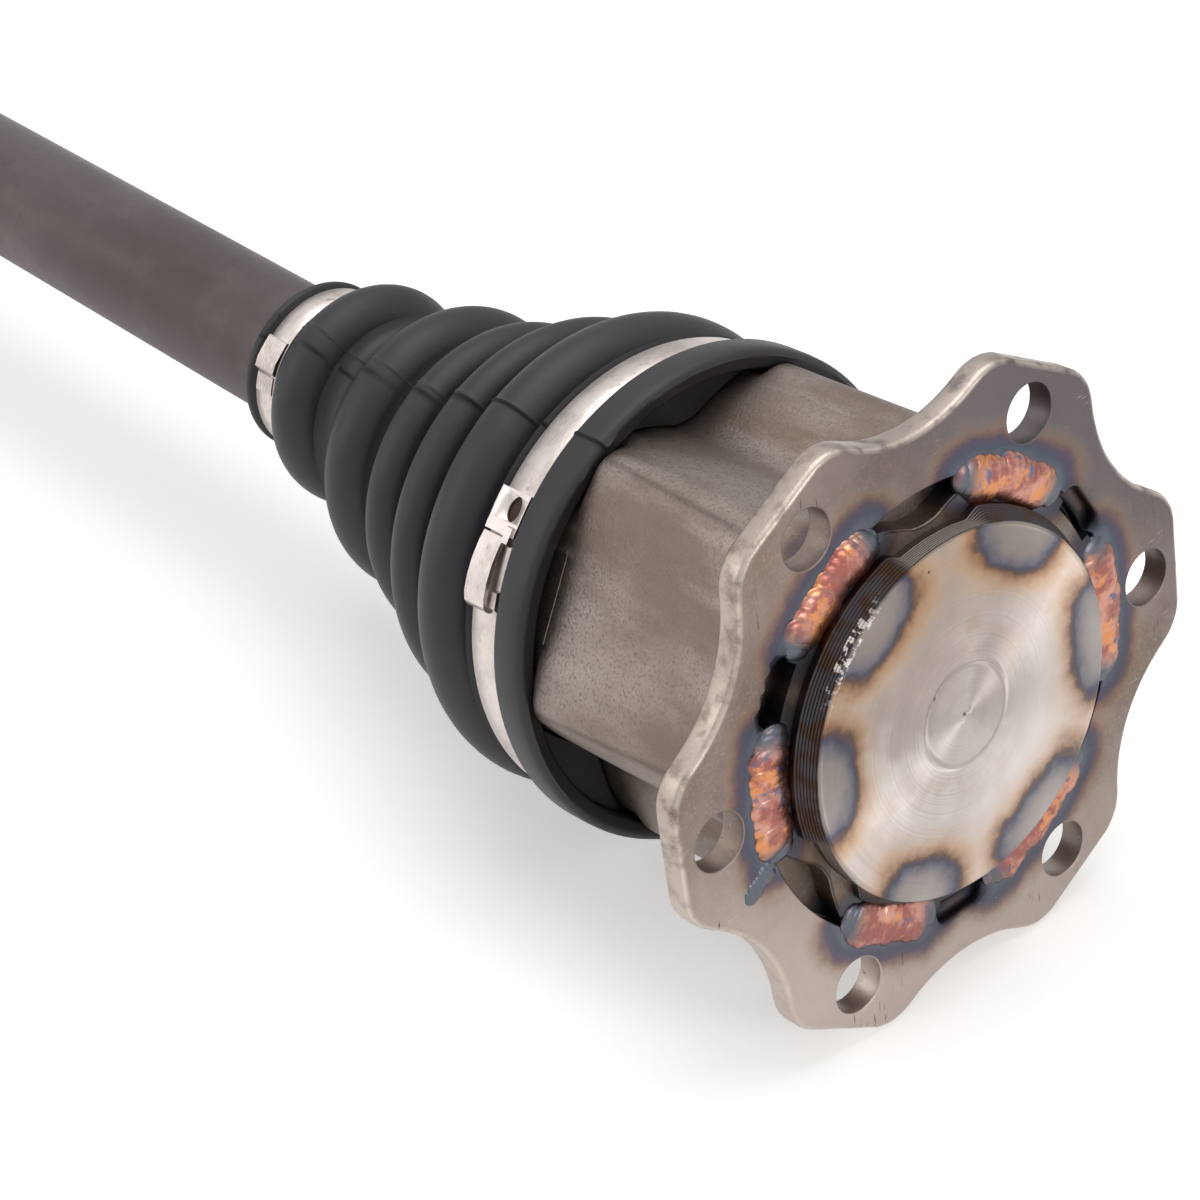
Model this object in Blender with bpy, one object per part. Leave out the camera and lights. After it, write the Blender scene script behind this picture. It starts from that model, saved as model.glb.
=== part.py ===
"""Drive axle: flanged tripod joint at one end, ball joint and stub at the other.

Rest position: it lies on a level surface, on two lobes of its flange and on the
bell of the outer joint, with the bar level. Sizes are in millimetres and degrees;
MM turns them into Blender's metres. Every turned piece is drawn along its own X.
"""
import math

import bmesh
import bpy
from mathutils import Matrix, Vector

MM = 0.001
GAP = 0.3              # gap between pieces that touch on the real axle
RUN = 0.35             # gap of a piece that turns or slides in another

# Attitude and stations of the whole axle
HOUSING_TILT = 5.0     # the housing's axis rises this much towards the flange
SPIDER_DEPTH = 35.6    # spider centre behind the flange's front face
JOINT_SPAN = 380.0     # spider centre to the centre of the outer joint

# Adapter flange
FLANGE_THICK = 4.3
LOBE_TIP_REACH = 7.6   # tips of the six bolt lobes, outside the bolt circle
SCALLOP_R = 23.9       # radius of the hollow between two lobes
SCALLOP_FLOOR_REACH = 0.6  # its deepest point, outside the bolt circle
LOBE_CORNER_R = 8.0
FLANGE_EDGE = 0.9      # rounding of the rim
BOLT_COUNT = 6
BOLT_CIRCLE_R = 43.0
BOLT_HOLE_R = 4.43
BOLT_PHASE = 30.0      # first bolt hole, from up towards +Y
RING_REACH = 8.3       # from the bolt circle in to the hole that takes the spigot
NOTCH_REACH = 2.8      # pocket in the opening's edge, opposite each track
NOTCH_WIDTH = 12.0
NOTCH_DEPTH = 2.2

# Boss in front of the flange
BOSS_PROUD = 4.6
BOSS_STEP = 6.4        # the boss's side, inside the flange's opening
BOSS_FOOT = 1.7        # the boss widens by this much towards its foot
BOSS_EDGE = 0.7

# Weld beads: first and last angle of each
WELD_SPANS = ((309, 343), (256, 291), (12, 48), (71, 110), (190, 222), (130, 171))
WELD_INSIDE = 1.2      # middle of the beads, inside the flange's opening
WELD_WIDTH = 5.0
WELD_HEIGHT = 1.6
WELD_BLUNT = 0.45      # size of a bead's ends, against its middle

# Tripod housing
LOBES = 3
LOBE_PHASE = 60.0      # first lobe, from up towards +Y
HOUSING_TAIL = 1.8     # the open end is this far behind the wide clamp
TRACK_DEPTH = 7.7      # from the trunnions' ball centres out to a track's flat cap
LOBE_WALL = 3.8        # a lobe's outer wall, over the roller track
LOBE_FACE_HALF = 12.5  # half the width of that face
LOBE_CORNER_INSET = 2.0  # centre of the rounded shoulder, against the face's distance from the axis
LOBE_CORNER_ANGLE = 30.0
LOBE_SHOULDER_R = 5.5
VALLEY_DROP = 4.4      # deepest point between two lobes, inside their faces
VALLEY_CURVE = 10.0
CAVITY_FLOOR = 6.0     # behind the flange's front face
BORE_INSET = 1.0       # bore between the tracks, inside the trunnions' ball centres
MOUTH_DEPTH = 8.0      # chamfer at the open end
MOUTH_GROWTH = 4.5
SLOT_DEPTH = 3.4       # dark slot in the spigot behind each notch
SLOT_WIDTH = 9.0
SLOT_REACH = 4.5       # from the flange's opening inwards
SEAT_PROUD = 1.2       # the lobes under the boot are turned to this much over their faces

# Tripod
PITCH_R = 22.3         # trunnion ball centres from the axis
ROLLER_R = 17.0
ROLLER_WIDTH = 9.5
ROLLER_EDGE = 1.2      # chamfer of a roller's rims
ROLLER_REST = 0.6      # the inner ring and needles end this far inside the roller's faces
TRACK_PLAY = 1.2       # side play that lets the spider orbit as it tilts
TRUNNION_R = 10.6
TRUNNION_NECK_R = 8.4
TRUNNION_TOP = 5.4     # flat end of a trunnion beyond its ball centre
RING_WALL = 1.5
NEEDLE_R = 0.95
NEEDLE_COUNT = 16
HUB_R = 15.0
HUB_END_R = 12.9
HUB_HALF = 11.0
HUB_LAND_HALF = 4.5

# Bar shaft
BAR_R = 11.8
NECK_R = 10.8
NECK_END = 52.0        # from the spider centre
SPLINE_R = 11.5
SPLINE_DEPTH = 0.9
SPLINE_TEETH = 22
SHAFT_LAND = 2.2       # shaft end beyond the circlip's groove
CIRCLIP_WIDTH = 1.3
CIRCLIP_WALL = 2.6
CIRCLIP_OPENING = 40.0 # angle between the clip's ends

# Inner boot and clamps: bellows and cuff stations are from the wide clamp's rear edge
WIDE_BAND_AT = 54.2    # the wide clamp's front edge behind the flange's front face
WIDE_BAND_WIDTH = 6.0
GROOVE_PLAY = 0.5      # the boot's groove is this much wider than the clamp, each side
BOOT_NOSE = 6.7        # the boot's front face before its groove
BOOT_LIP_PROUD = 1.8   # the lip over the wide clamp
BOOT_FLASH_DROP = 1.0  # the thin flash line under the lip's rim
BOOT_WALL = 2.3
# Crests: station, radius at the crest, its rounding
BOOT_CRESTS = ((9.7, 38.5, 6.0), (24.2, 33.1, 4.0), (38.2, 27.3, 4.0), (52.0, 24.5, 5.5), (73.3, 19.3, 5.5))
# Valleys between them: station, radius, rounding
BOOT_VALLEYS = ((17.6, 27.0, 1.8), (31.6, 22.0, 1.8), (44.7, 19.6, 1.8), (63.0, 16.6, 2.6), (79.4, 14.4, 1.2))
NARROW_BAND_AT = 80.9
NARROW_BAND_WIDTH = 5.0
CUFF_TAIL = 2.7        # the cuff's end beyond the narrow clamp
CUFF_LIP_R = 15.0
RUBBER_UNDER_BAND = 1.0
BAND_THICK = 0.8
CUFF_WALL = 1.4        # rubber under the narrow clamp
WIDE_EAR_ANGLE = 304.0
WIDE_EAR_LENGTH = 18.0
WIDE_EAR_HEIGHT = 1.6
NARROW_EAR_ANGLE = 306.0
NARROW_EAR_LENGTH = 6.0
NARROW_EAR_HEIGHT = 1.4

# Outer joint
BALL_COUNT = 6
BALL_R = 8.5
BALL_PITCH_R = 31.0
TRACK_OFFSET = 3.0     # the bell's and the race's track centres lie this far either side
CAGE_WALL = 4.9
CAGE_HALF = 14.0
CAGE_WINDOW_HALF = 9.9
RACE_HALF = 12.0
BEND_LIMIT = 40.0      # largest angle of the outer joint
TRACK_OUT = 50.0       # how far a track is swept towards the bell's mouth
RACE_SWEEP = 40.0      # how far the race's tracks are swept each way
BELL_WALL = 5.15       # outside the balls' pitch position
BELL_MOUTH = 21.0
BELL_MOUTH_STEP = 5.0  # mouth radius over the balls' pitch circle
BELL_SEAT_STEP = 3.45  # the bell is turned down this much for the outer boot
BELL_SEAT_START = 5.0
BELL_ROUND = 24.0      # rounding of the bell's back
BELL_ROUND_START = 8.0
BELL_EDGE = 0.6
BELL_BACK = 38.0
BELL_FLOOR = 29.0
STUB_SHOULDER_R = 20.0
STUB_SPLINE_R = 14.0
STUB_SPLINE_DEPTH = 1.1
STUB_SPLINE_TEETH = 24
STUB_SPLINE = (48.0, 92.0)
STUB_THREAD_R = 11.0
STUB_END = 118.0
STUB_COLLAR = 4.0      # between the shoulder's end and the spline
STUB_RUNOUT = 3.0
STUB_CHAMFER = 1.5

# Outer boot, stations from the outer joint's centre towards the flange
OUTER_CRESTS = ((33.0, 38.0, 4.5), (45.5, 33.5, 4.0), (57.5, 28.5, 4.0), (69.0, 23.5, 3.5))
OUTER_VALLEYS = ((39.5, 28.0, 1.5), (51.5, 23.5, 1.5), (63.5, 19.0, 1.5), (75.5, 15.4, 1.5))
OUTER_CUFF = (77.5, 86.0)
OUTER_WIDE_BAND = (9.5, 15.5)
OUTER_EAR_ANGLE = 0.0

# Sizes that follow from those above
FLANGE_TIP_R = BOLT_CIRCLE_R + LOBE_TIP_REACH
SCALLOP_FLOOR_R = BOLT_CIRCLE_R + SCALLOP_FLOOR_REACH
OPENING_R = BOLT_CIRCLE_R - RING_REACH
BOSS_R = OPENING_R - BOSS_STEP
BOSS_FOOT_R = BOSS_R + BOSS_FOOT
WELD_R = OPENING_R - WELD_INSIDE
SLOT_IN_R = OPENING_R - SLOT_REACH
WIDE_BAND_END = WIDE_BAND_AT + WIDE_BAND_WIDTH
BOOT_FRONT = WIDE_BAND_AT - GROOVE_PLAY - BOOT_NOSE
HOUSING_END = WIDE_BAND_END + HOUSING_TAIL
BELLOWS_AT = WIDE_BAND_END - SPIDER_DEPTH
NARROW_BAND = (BELLOWS_AT + NARROW_BAND_AT, BELLOWS_AT + NARROW_BAND_AT + NARROW_BAND_WIDTH)
CUFF_END = NARROW_BAND[1] + CUFF_TAIL
TRACK_CAP_R = PITCH_R + TRACK_DEPTH
BORE_R = PITCH_R - BORE_INSET
LOBE_FACE_R = TRACK_CAP_R + LOBE_WALL
LOBE_CORNER_AT = LOBE_FACE_R - LOBE_CORNER_INSET
VALLEY_R = LOBE_FACE_R - VALLEY_DROP
SEAT_R = LOBE_FACE_R + SEAT_PROUD
SEAT_FIT = GAP + 0.1
GROOVE_R = SEAT_R + SEAT_FIT + RUBBER_UNDER_BAND
WIDE_BAND_R = GROOVE_R + GAP + BAND_THICK
BOOT_LIP_R = WIDE_BAND_R + BOOT_LIP_PROUD
CUFF_BORE = BAR_R + GAP
CUFF_R = CUFF_BORE + CUFF_WALL
NARROW_BAND_R = CUFF_R + GAP + BAND_THICK
BELL_R = BALL_PITCH_R + BALL_R + BELL_WALL
BELL_SEAT_R = BELL_R - BELL_SEAT_STEP


# Facets round the turned pieces
FINE = 40
PLAIN = 28
COARSE = 20


# Small helpers

def steel(name, colour, rough):
    """A metal with its own colour and roughness."""
    material = bpy.data.materials.new(name)
    material.use_nodes = True
    shader = material.node_tree.nodes["Principled BSDF"]
    shader.inputs["Base Color"].default_value = (*colour, 1.0)
    shader.inputs["Metallic"].default_value = 1.0
    shader.inputs["Roughness"].default_value = rough
    return material


def rubber(name, colour, rough):
    """A black elastomer."""
    material = steel(name, colour, rough)
    material.node_tree.nodes["Principled BSDF"].inputs["Metallic"].default_value = 0.0
    return material


def arc(x, r, radius, first, last, count):
    """Points of an arc in a profile: 0 degrees is along +x, 90 is outwards."""
    step = (last - first) / (count - 1)
    angles = [math.radians(first + step * i) for i in range(count)]
    return [(x + radius * math.cos(t), r + radius * math.sin(t)) for t in angles]


def clear(radius, step):
    """Radius whose flat facets, each turning by step degrees, stay outside a given radius."""
    return radius / math.cos(math.radians(step / 2))


def polar(radius, angle):
    """(y, z) at a radius and an angle from up towards +Y."""
    t = math.radians(angle)
    return radius * math.sin(t), radius * math.cos(t)


def turned(profile, steps, closed=False):
    """Spin (x, r) points round X; closed profiles make rings."""
    bm = bmesh.new()
    verts = [bm.verts.new((x * MM, 0.0, r * MM)) for x, r in profile]
    edges = [bm.edges.new(pair) for pair in zip(verts, verts[1:])]
    if closed:
        edges.append(bm.edges.new((verts[-1], verts[0])))
    bmesh.ops.spin(bm, geom=verts + edges, axis=(1, 0, 0), cent=(0, 0, 0),
                   steps=steps, angle=2 * math.pi, use_merge=True)
    bmesh.ops.remove_doubles(bm, verts=bm.verts, dist=1e-6)
    bmesh.ops.recalc_face_normals(bm, faces=bm.faces)
    return bm


def prism(outline, start, end):
    """Extrude a (y, z) outline along X."""
    bm = bmesh.new()
    face = bm.faces.new([bm.verts.new((start * MM, y * MM, z * MM)) for y, z in outline])
    swept = bmesh.ops.extrude_face_region(bm, geom=[face])["geom"]
    moved = [item for item in swept if isinstance(item, bmesh.types.BMVert)]
    bmesh.ops.translate(bm, verts=moved, vec=((end - start) * MM, 0, 0))
    bmesh.ops.recalc_face_normals(bm, faces=bm.faces)
    return bm


def loft(rings):
    """Skin a row of rings of points and close both ends."""
    bm = bmesh.new()
    rows = [[bm.verts.new(point * MM) for point in ring] for ring in rings]
    count = len(rows[0])
    for row, after in zip(rows, rows[1:]):
        for i in range(count):
            j = (i + 1) % count
            bm.faces.new((row[i], row[j], after[j], after[i]))
    bm.faces.new(rows[0])
    bm.faces.new(rows[-1])
    bmesh.ops.recalc_face_normals(bm, faces=bm.faces)
    return bm


def block(size, centre, turn=None):
    """A box of a given size and centre, turned about X by an angle from up."""
    bm = bmesh.new()
    bmesh.ops.create_cube(bm, size=1.0)
    bmesh.ops.scale(bm, vec=Vector(size) * MM, verts=bm.verts)
    bmesh.ops.translate(bm, vec=Vector(centre) * MM, verts=bm.verts)
    if turn is not None:
        bmesh.ops.rotate(bm, cent=(0, 0, 0), matrix=Matrix.Rotation(-math.radians(turn), 3, "X"),
                         verts=bm.verts)
    return bm


def frame(name, location, rotation=(0, 0, 0), parent=None):
    """An empty that carries the pieces of one body."""
    empty = bpy.data.objects.new(name, None)
    empty.location = Vector(location) * MM
    empty.rotation_euler = rotation
    empty.parent = parent
    bpy.context.scene.collection.objects.link(empty)
    return empty


def piece(name, bm, material, parent, sharp=35):
    """A named solid."""
    mesh = bpy.data.meshes.new(name)
    bm.to_mesh(mesh)
    bm.free()
    mesh.materials.append(material)
    mesh.shade_smooth()
    mesh.set_sharp_from_angle(angle=math.radians(sharp))
    obj = bpy.data.objects.new(name, mesh)
    obj.parent = parent
    bpy.context.scene.collection.objects.link(obj)
    return obj


def shape(obj, bm, operation="DIFFERENCE", parent=None):
    """Cut, add or keep what a hidden shape covers."""
    mesh = bpy.data.meshes.new(obj.name + "_tool")
    bm.to_mesh(mesh)
    bm.free()
    tool = bpy.data.objects.new(mesh.name, mesh)
    tool.parent = parent or obj.parent
    tool.hide_render = True
    tool.display_type = "WIRE"
    bpy.context.scene.collection.objects.link(tool)
    modifier = obj.modifiers.new(operation.lower(), "BOOLEAN")
    modifier.operation = operation
    modifier.object = tool
    modifier.solver = "EXACT"
    return tool


def rounded(obj, width, segments=2, angle=50):
    """Round the sharp edges of a piece."""
    modifier = obj.modifiers.new("edges", "BEVEL")
    modifier.width = width * MM
    modifier.segments = segments
    modifier.limit_method = "ANGLE"
    modifier.angle_limit = math.radians(angle)


def lobe_angles():
    return [LOBE_PHASE + 360.0 / LOBES * k for k in range(LOBES)]


def bolt_angles():
    return [BOLT_PHASE + 360.0 / BOLT_COUNT * k for k in range(BOLT_COUNT)]


def behind(depth):
    """Local x of a station behind the flange's front face; x = 0 is the boss's end face."""
    return -(depth + BOSS_PROUD)


# Outlines

def flange_outline():
    """Six bolt lobes with rounded corners and round hollows between them."""
    hollow = SCALLOP_FLOOR_R + SCALLOP_R
    corner = FLANGE_TIP_R - LOBE_CORNER_R
    reach = SCALLOP_R + LOBE_CORNER_R
    cosine = (hollow ** 2 + corner ** 2 - reach ** 2) / (2 * hollow * corner)
    half_pitch = 180.0 / BOLT_COUNT
    swing = half_pitch - math.degrees(math.acos(cosine))   # corner centre from the lobe's middle
    points = []
    for middle in bolt_angles():
        sides = []
        for sign in (-1, 1):
            cy, cz = polar(corner, middle + sign * swing)
            hy, hz = polar(hollow, middle + sign * half_pitch)
            inner = math.degrees(math.atan2(hy - cy, hz - cz))
            outer = middle + sign * swing
            turn = (inner - outer + 180) % 360 - 180
            path = [polar(LOBE_CORNER_R, outer + turn * i / 3) for i in range(4)]
            side = [(cy + y, cz + z) for y, z in path]
            start = math.degrees(math.atan2(cy - hy, cz - hz))
            end = middle + sign * half_pitch + 180
            turn = (end - start + 180) % 360 - 180
            path = [polar(SCALLOP_R, start + turn * i / 2) for i in (1, 2)]
            side += [(hy + y, hz + z) for y, z in path]
            sides.append(side)
        points += list(reversed(sides[0]))[1:] + [polar(FLANGE_TIP_R, middle)] + sides[1]
    return points


def lobe_side(extra):
    """Half of one lobe's outline as (radius, angle from its middle), grown by extra."""
    points = []
    face = LOBE_FACE_R + extra
    for part in (0.0, 0.4, 0.75):
        y = LOBE_FACE_HALF * part
        points.append((math.hypot(face, y), math.degrees(math.atan2(y, face))))
    cx, cy = [LOBE_CORNER_AT * f(math.radians(LOBE_CORNER_ANGLE)) for f in (math.cos, math.sin)]
    radius = LOBE_SHOULDER_R + extra
    valley = VALLEY_R + VALLEY_CURVE
    pitch = math.pi / LOBES
    vx, vy = valley * math.cos(pitch), valley * math.sin(pitch)
    gap = math.hypot(vx - cx, vy - cy)
    lean = math.atan2(vy - cy, vx - cx)
    cross = math.acos((radius + VALLEY_CURVE - extra) / gap)
    # the face's edge, the shoulder arc, then the hollow
    edge_x, edge_y = face, LOBE_FACE_HALF
    out = math.hypot(edge_x - cx, edge_y - cy)
    first = math.atan2(edge_y - cy, edge_x - cx) + math.acos(radius / out)
    last = lean - cross
    points.append((math.hypot(edge_x, edge_y), math.degrees(math.atan2(edge_y, edge_x))))
    for i in range(5):
        t = first + (last - first) * i / 4
        x, y = cx + radius * math.cos(t), cy + radius * math.sin(t)
        points.append((math.hypot(x, y), math.degrees(math.atan2(y, x))))
    hollow = VALLEY_CURVE - extra
    start, end = last + math.pi, pitch + math.pi
    for i in range(4):
        t = start + (end - start) * i / 3
        x, y = vx + hollow * math.cos(t), vy + hollow * math.sin(t)
        points.append((math.hypot(x, y), math.degrees(math.atan2(y, x))))
    return points


def housing_outline(extra=0.0):
    """The three-lobed outside of the housing, grown by extra."""
    side = lobe_side(extra)
    points = []
    for middle in lobe_angles():
        for radius, angle in reversed(side[1:-1]):
            points.append(polar(radius, middle - angle))
        for radius, angle in side:
            points.append(polar(radius, middle + angle))
    return points


def cavity_outline():
    """Three roller tracks with flat caps, joined by the bore."""
    half = ROLLER_R + TRACK_PLAY
    cap = math.degrees(math.acos((TRACK_CAP_R - PITCH_R) / half))
    side = []
    for i in range(6):
        t = math.radians(cap + (90 - cap) * i / 5)
        x, y = PITCH_R + half * math.cos(t), half * math.sin(t)
        side.append((math.hypot(x, y), math.degrees(math.atan2(y, x))))
    x = math.sqrt(BORE_R ** 2 - half ** 2)
    side.append((BORE_R, math.degrees(math.atan2(half, x))))
    points = []
    for middle in lobe_angles():
        points += [polar(radius, middle - angle) for radius, angle in reversed(side)]
        points += [polar(radius, middle + angle) for radius, angle in side]
    return points


def spline_outline(radius, depth, teeth, grow=0.0):
    """A round outline with fine pointed teeth."""
    pitch = 360.0 / teeth
    points = []
    for k in range(teeth):
        points.append(polar(radius + grow, pitch * k))
        points.append(polar(radius - depth + grow, pitch * (k + 0.5)))
    return points


# Pieces of the flanged housing

def make_flange(home, look):
    flange = piece("adapter_flange", prism(flange_outline(), behind(FLANGE_THICK), behind(0)), look, home)
    rounded(flange, FLANGE_EDGE)
    through = (behind(FLANGE_THICK) - 1, behind(0) + 1)
    shape(flange, turned([(through[0], 0), (through[0], OPENING_R), (through[1], OPENING_R),
                          (through[1], 0)], FINE))
    hole = [(through[0], 0), (through[0], BOLT_HOLE_R), (through[1], BOLT_HOLE_R), (through[1], 0)]
    for angle in bolt_angles():
        bm = turned(hole, 14)
        y, z = polar(BOLT_CIRCLE_R, angle)
        bmesh.ops.translate(bm, vec=(0, y * MM, z * MM), verts=bm.verts)
        shape(flange, bm)
    for angle in lobe_angles():
        middle = OPENING_R + NOTCH_REACH / 2 - 1
        size = (2 * NOTCH_DEPTH, NOTCH_WIDTH, NOTCH_REACH + 2)
        shape(flange, block(size, (behind(0), 0, middle), angle))
    return flange


def make_housing(home, look):
    """Spigot and boss at the flange, three lobes behind it, roller tracks inside."""
    housing = piece("tripod_housing", prism(housing_outline(), behind(HOUSING_END), behind(0)), look, home)
    spigot = OPENING_R - GAP
    outside = FLANGE_TIP_R
    step = behind(FLANGE_THICK + GAP)
    shape(housing, turned([(step, spigot), (step, outside), (behind(-1), outside), (behind(-1), spigot)],
                          FINE, closed=True))
    seat = behind(BOOT_FRONT - GAP)
    end = behind(HOUSING_END + 1)
    ring = [(end, SEAT_R), (end, outside), (seat, outside), (seat, SEAT_R)]
    shape(housing, turned(ring, FINE, closed=True))
    foot = behind(1.5)
    boss = [(foot, 0), (foot, BOSS_FOOT_R), (behind(0), BOSS_FOOT_R), (-BOSS_EDGE, BOSS_R),
            (0, BOSS_R - BOSS_EDGE), (0, 0)]
    shape(housing, turned(boss, FINE), "UNION")
    shape(housing, prism(cavity_outline(), behind(HOUSING_END + 1), behind(CAVITY_FLOOR)))
    mouth = behind(HOUSING_END)
    chamfer = [(mouth - 1, 0), (mouth - 1, BORE_R + MOUTH_GROWTH), (mouth, BORE_R + MOUTH_GROWTH),
               (mouth + MOUTH_DEPTH, BORE_R - GAP), (mouth + MOUTH_DEPTH, 0)]
    shape(housing, turned(chamfer, COARSE))
    for angle in lobe_angles():
        high = spigot + 1
        size = (2 * SLOT_DEPTH, SLOT_WIDTH, high - SLOT_IN_R)
        shape(housing, block(size, (behind(0), 0, (high + SLOT_IN_R) / 2), angle))
    return housing


def make_welds(home, look):
    """Six beads on the seam between flange and spigot, each with tapered ends."""
    section = [(0.0, -0.5), (0.45, -0.42), (0.85, -0.22), (1.0, 0.0), (0.85, 0.22), (0.45, 0.42), (0.0, 0.5)]
    for number, (first, last) in enumerate(WELD_SPANS, 1):
        rings = []
        stations = 7
        for i in range(stations):
            share = i / (stations - 1)
            fade = min(1.0, WELD_BLUNT + 4.0 * min(share, 1.0 - share))
            ring = []
            for high, across in section:
                y, z = polar(WELD_R + across * WELD_WIDTH * fade, first + (last - first) * share)
                ring.append(Vector((behind(-GAP) + high * WELD_HEIGHT * fade, y, z)))
            rings.append(ring)
        piece(f"weld_bead_{number}", loft(rings), look, home)


# Inner boot and its clamps

def bend(station, radius, angle, share):
    """A point round the boot's centre line, which swings from the housing's axis to the bar's."""
    tilt = math.radians(HOUSING_TILT)
    t = math.radians(angle)
    side, up = radius * math.sin(t), radius * math.cos(t)
    # both points are in the housing's frame, whose X is the housing's axis
    spider = Vector((behind(SPIDER_DEPTH), 0, 0))
    straight = spider + Vector((-station, side, up))
    level = Vector((-station, side, up))
    level.rotate(Matrix.Rotation(tilt, 3, "Y"))
    return straight.lerp(spider + level, share)


def bend_share(station, first, last):
    """How far the centre line has swung at a station."""
    return min(max((station - first) / (last - first), 0.0), 1.0)


def bellows(crests, valleys):
    """Rounded crests and valleys as profile points, from the first crest to the last valley."""
    points = []
    for crest, valley in zip(crests, valleys):
        x, r, rounding = crest
        points += arc(x, r - rounding, rounding, 150, 30, 4 if rounding > 5 else 3)
        x, r, rounding = valley
        if rounding > 1.7:
            points += arc(x, r + rounding, rounding, 225, 315, 2)
        else:
            points.append((x, r))
    return points


def inner_bellows(crests, valleys, wall):
    """The inside of the same bellows, with fewer points."""
    points = []
    for crest, valley in zip(crests, valleys):
        x, r, rounding = crest
        points += arc(x, r - rounding, max(rounding - wall, 0.8), 130, 50, 2)
        x, r, rounding = valley
        points.append((x, r - wall))
    return points


def make_inner_boot(home, look):
    """Moulded bellows, thick where it fills the housing's valleys."""
    depth = SPIDER_DEPTH
    front = BOOT_FRONT - depth
    first = WIDE_BAND_AT - GROOVE_PLAY - depth
    last = WIDE_BAND_END + GROOVE_PLAY - depth
    crests = [(BELLOWS_AT + x, r, rounding) for x, r, rounding in BOOT_CRESTS]
    valleys = [(BELLOWS_AT + x, r, rounding) for x, r, rounding in BOOT_VALLEYS]
    outside = [(front, BOOT_LIP_R - BOOT_FLASH_DROP), (front + 1.2, BOOT_LIP_R - 0.3),
               (front + 2.4, BOOT_LIP_R),
               (first - 1.0, BOOT_LIP_R), (first, GROOVE_R), (last, GROOVE_R),
               (last + 0.8, GROOVE_R + 1.2)]
    outside += bellows(crests, valleys)
    outside += [(NARROW_BAND[0] - 0.4, CUFF_R), (NARROW_BAND[1] + 0.4, CUFF_R),
                (NARROW_BAND[1] + 1.0, CUFF_LIP_R), (CUFF_END - 0.6, CUFF_LIP_R),
                (CUFF_END, CUFF_LIP_R - 0.8)]
    swing = (HOUSING_END - depth, crests[-1][0])
    turns = PLAIN

    def rings(profile, count):
        rows = []
        for x, r in profile:
            share = bend_share(x, *swing)
            rows.append([bend(x, r, 360.0 * i / count, share) for i in range(count)])
        return rows

    boot = piece("inner_boot", loft(rings(outside, turns)), look, home, sharp=60)
    deep = behind(HOUSING_END + 2 * GAP)
    open_end = behind(BOOT_FRONT - 2)
    socket = shape(boot, prism(housing_outline(SEAT_FIT), deep, open_end))
    seat = clear(SEAT_R + SEAT_FIT, 360 / FINE)
    shape(socket, turned([(deep - 1, 0), (deep - 1, seat), (open_end + 1, seat), (open_end + 1, 0)], FINE),
          "INTERSECT")
    inside = [(HOUSING_END - depth - 1.5, BOOT_LIP_R - 7.0)]
    inside += inner_bellows(crests, valleys[:-1], BOOT_WALL)
    bore = clear(CUFF_BORE, 360 / COARSE)
    inside += [(valleys[-1][0] - 1.0, bore), (CUFF_END + 2, bore)]
    shape(boot, loft(rings(inside, COARSE)))
    return boot


def band(start, end, radius, steps):
    """A strap of the clamps' thickness."""
    inner = radius - BAND_THICK
    return turned([(start, inner), (start, radius), (end, radius), (end, inner)], steps, closed=True)


def ear(start, end, radius, angle, length, height):
    """The clamp's closing ear: a low curved block with sloping ends."""
    inset = BAND_THICK / 2
    low = radius - inset
    swing = math.degrees(length / 2 / radius)
    inner = [polar(low, angle + share * swing) for share in (-1.0, -0.5, 0.0, 0.5, 1.0)]
    outer = [polar(low + inset + height, angle + share * swing) for share in (0.85, 0.4, 0.0, -0.4, -0.85)]
    return prism(inner + outer, start + inset, end - inset)


def make_clamp(name, home, look, station, radius, closure, steps):
    """A strap closed by an ear; closure is the ear's angle, length and height."""
    clamp = piece(name, band(*station, radius, steps), look, home)
    shape(clamp, ear(*station, radius, *closure), "UNION")
    return clamp


# Tripod

def trunnion_turn(angle):
    """Turns a piece drawn along X to stand along a trunnion."""
    y, z = polar(1.0, angle)
    return Vector((0, y, z)).to_track_quat("X", "Y").to_euler()


def make_spider(home, look):
    """Splined hub with three ball-ended trunnions."""
    hub = [(-HUB_HALF, 0), (-HUB_HALF, HUB_END_R), (-HUB_LAND_HALF, HUB_R), (HUB_LAND_HALF, HUB_R),
           (HUB_HALF, HUB_END_R), (HUB_HALF, 0)]
    spider = piece("spider", turned(hub, PLAIN), look, home)
    waist = math.degrees(math.acos(TRUNNION_NECK_R / TRUNNION_R))
    crown = math.degrees(math.asin(TRUNNION_TOP / TRUNNION_R))
    ball = arc(PITCH_R, 0, TRUNNION_R, 90 + waist, 90 - crown, 6)
    profile = [(SPLINE_R + 2, 0), (SPLINE_R + 2, TRUNNION_NECK_R)] + ball + [(PITCH_R + TRUNNION_TOP, 0)]
    for number, angle in enumerate(lobe_angles(), 1):
        stand = frame(f"trunnion_{number}", (0, 0, 0), trunnion_turn(angle), home)
        shape(spider, turned(profile, COARSE), "UNION", stand)
    bore = spline_outline(SPLINE_R, SPLINE_DEPTH, SPLINE_TEETH, GAP)
    shape(spider, prism(bore, -HUB_HALF - 1, HUB_HALF + 1))
    return spider


def ring_sizes():
    """Radii from the trunnion's ball outwards: inner ring, needles, roller bore."""
    bore = TRUNNION_R + GAP
    race = bore + RING_WALL
    needle_in = race + GAP
    needle_out = needle_in + 2 * NEEDLE_R
    return bore, race, needle_in, needle_out, needle_out + GAP


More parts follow.
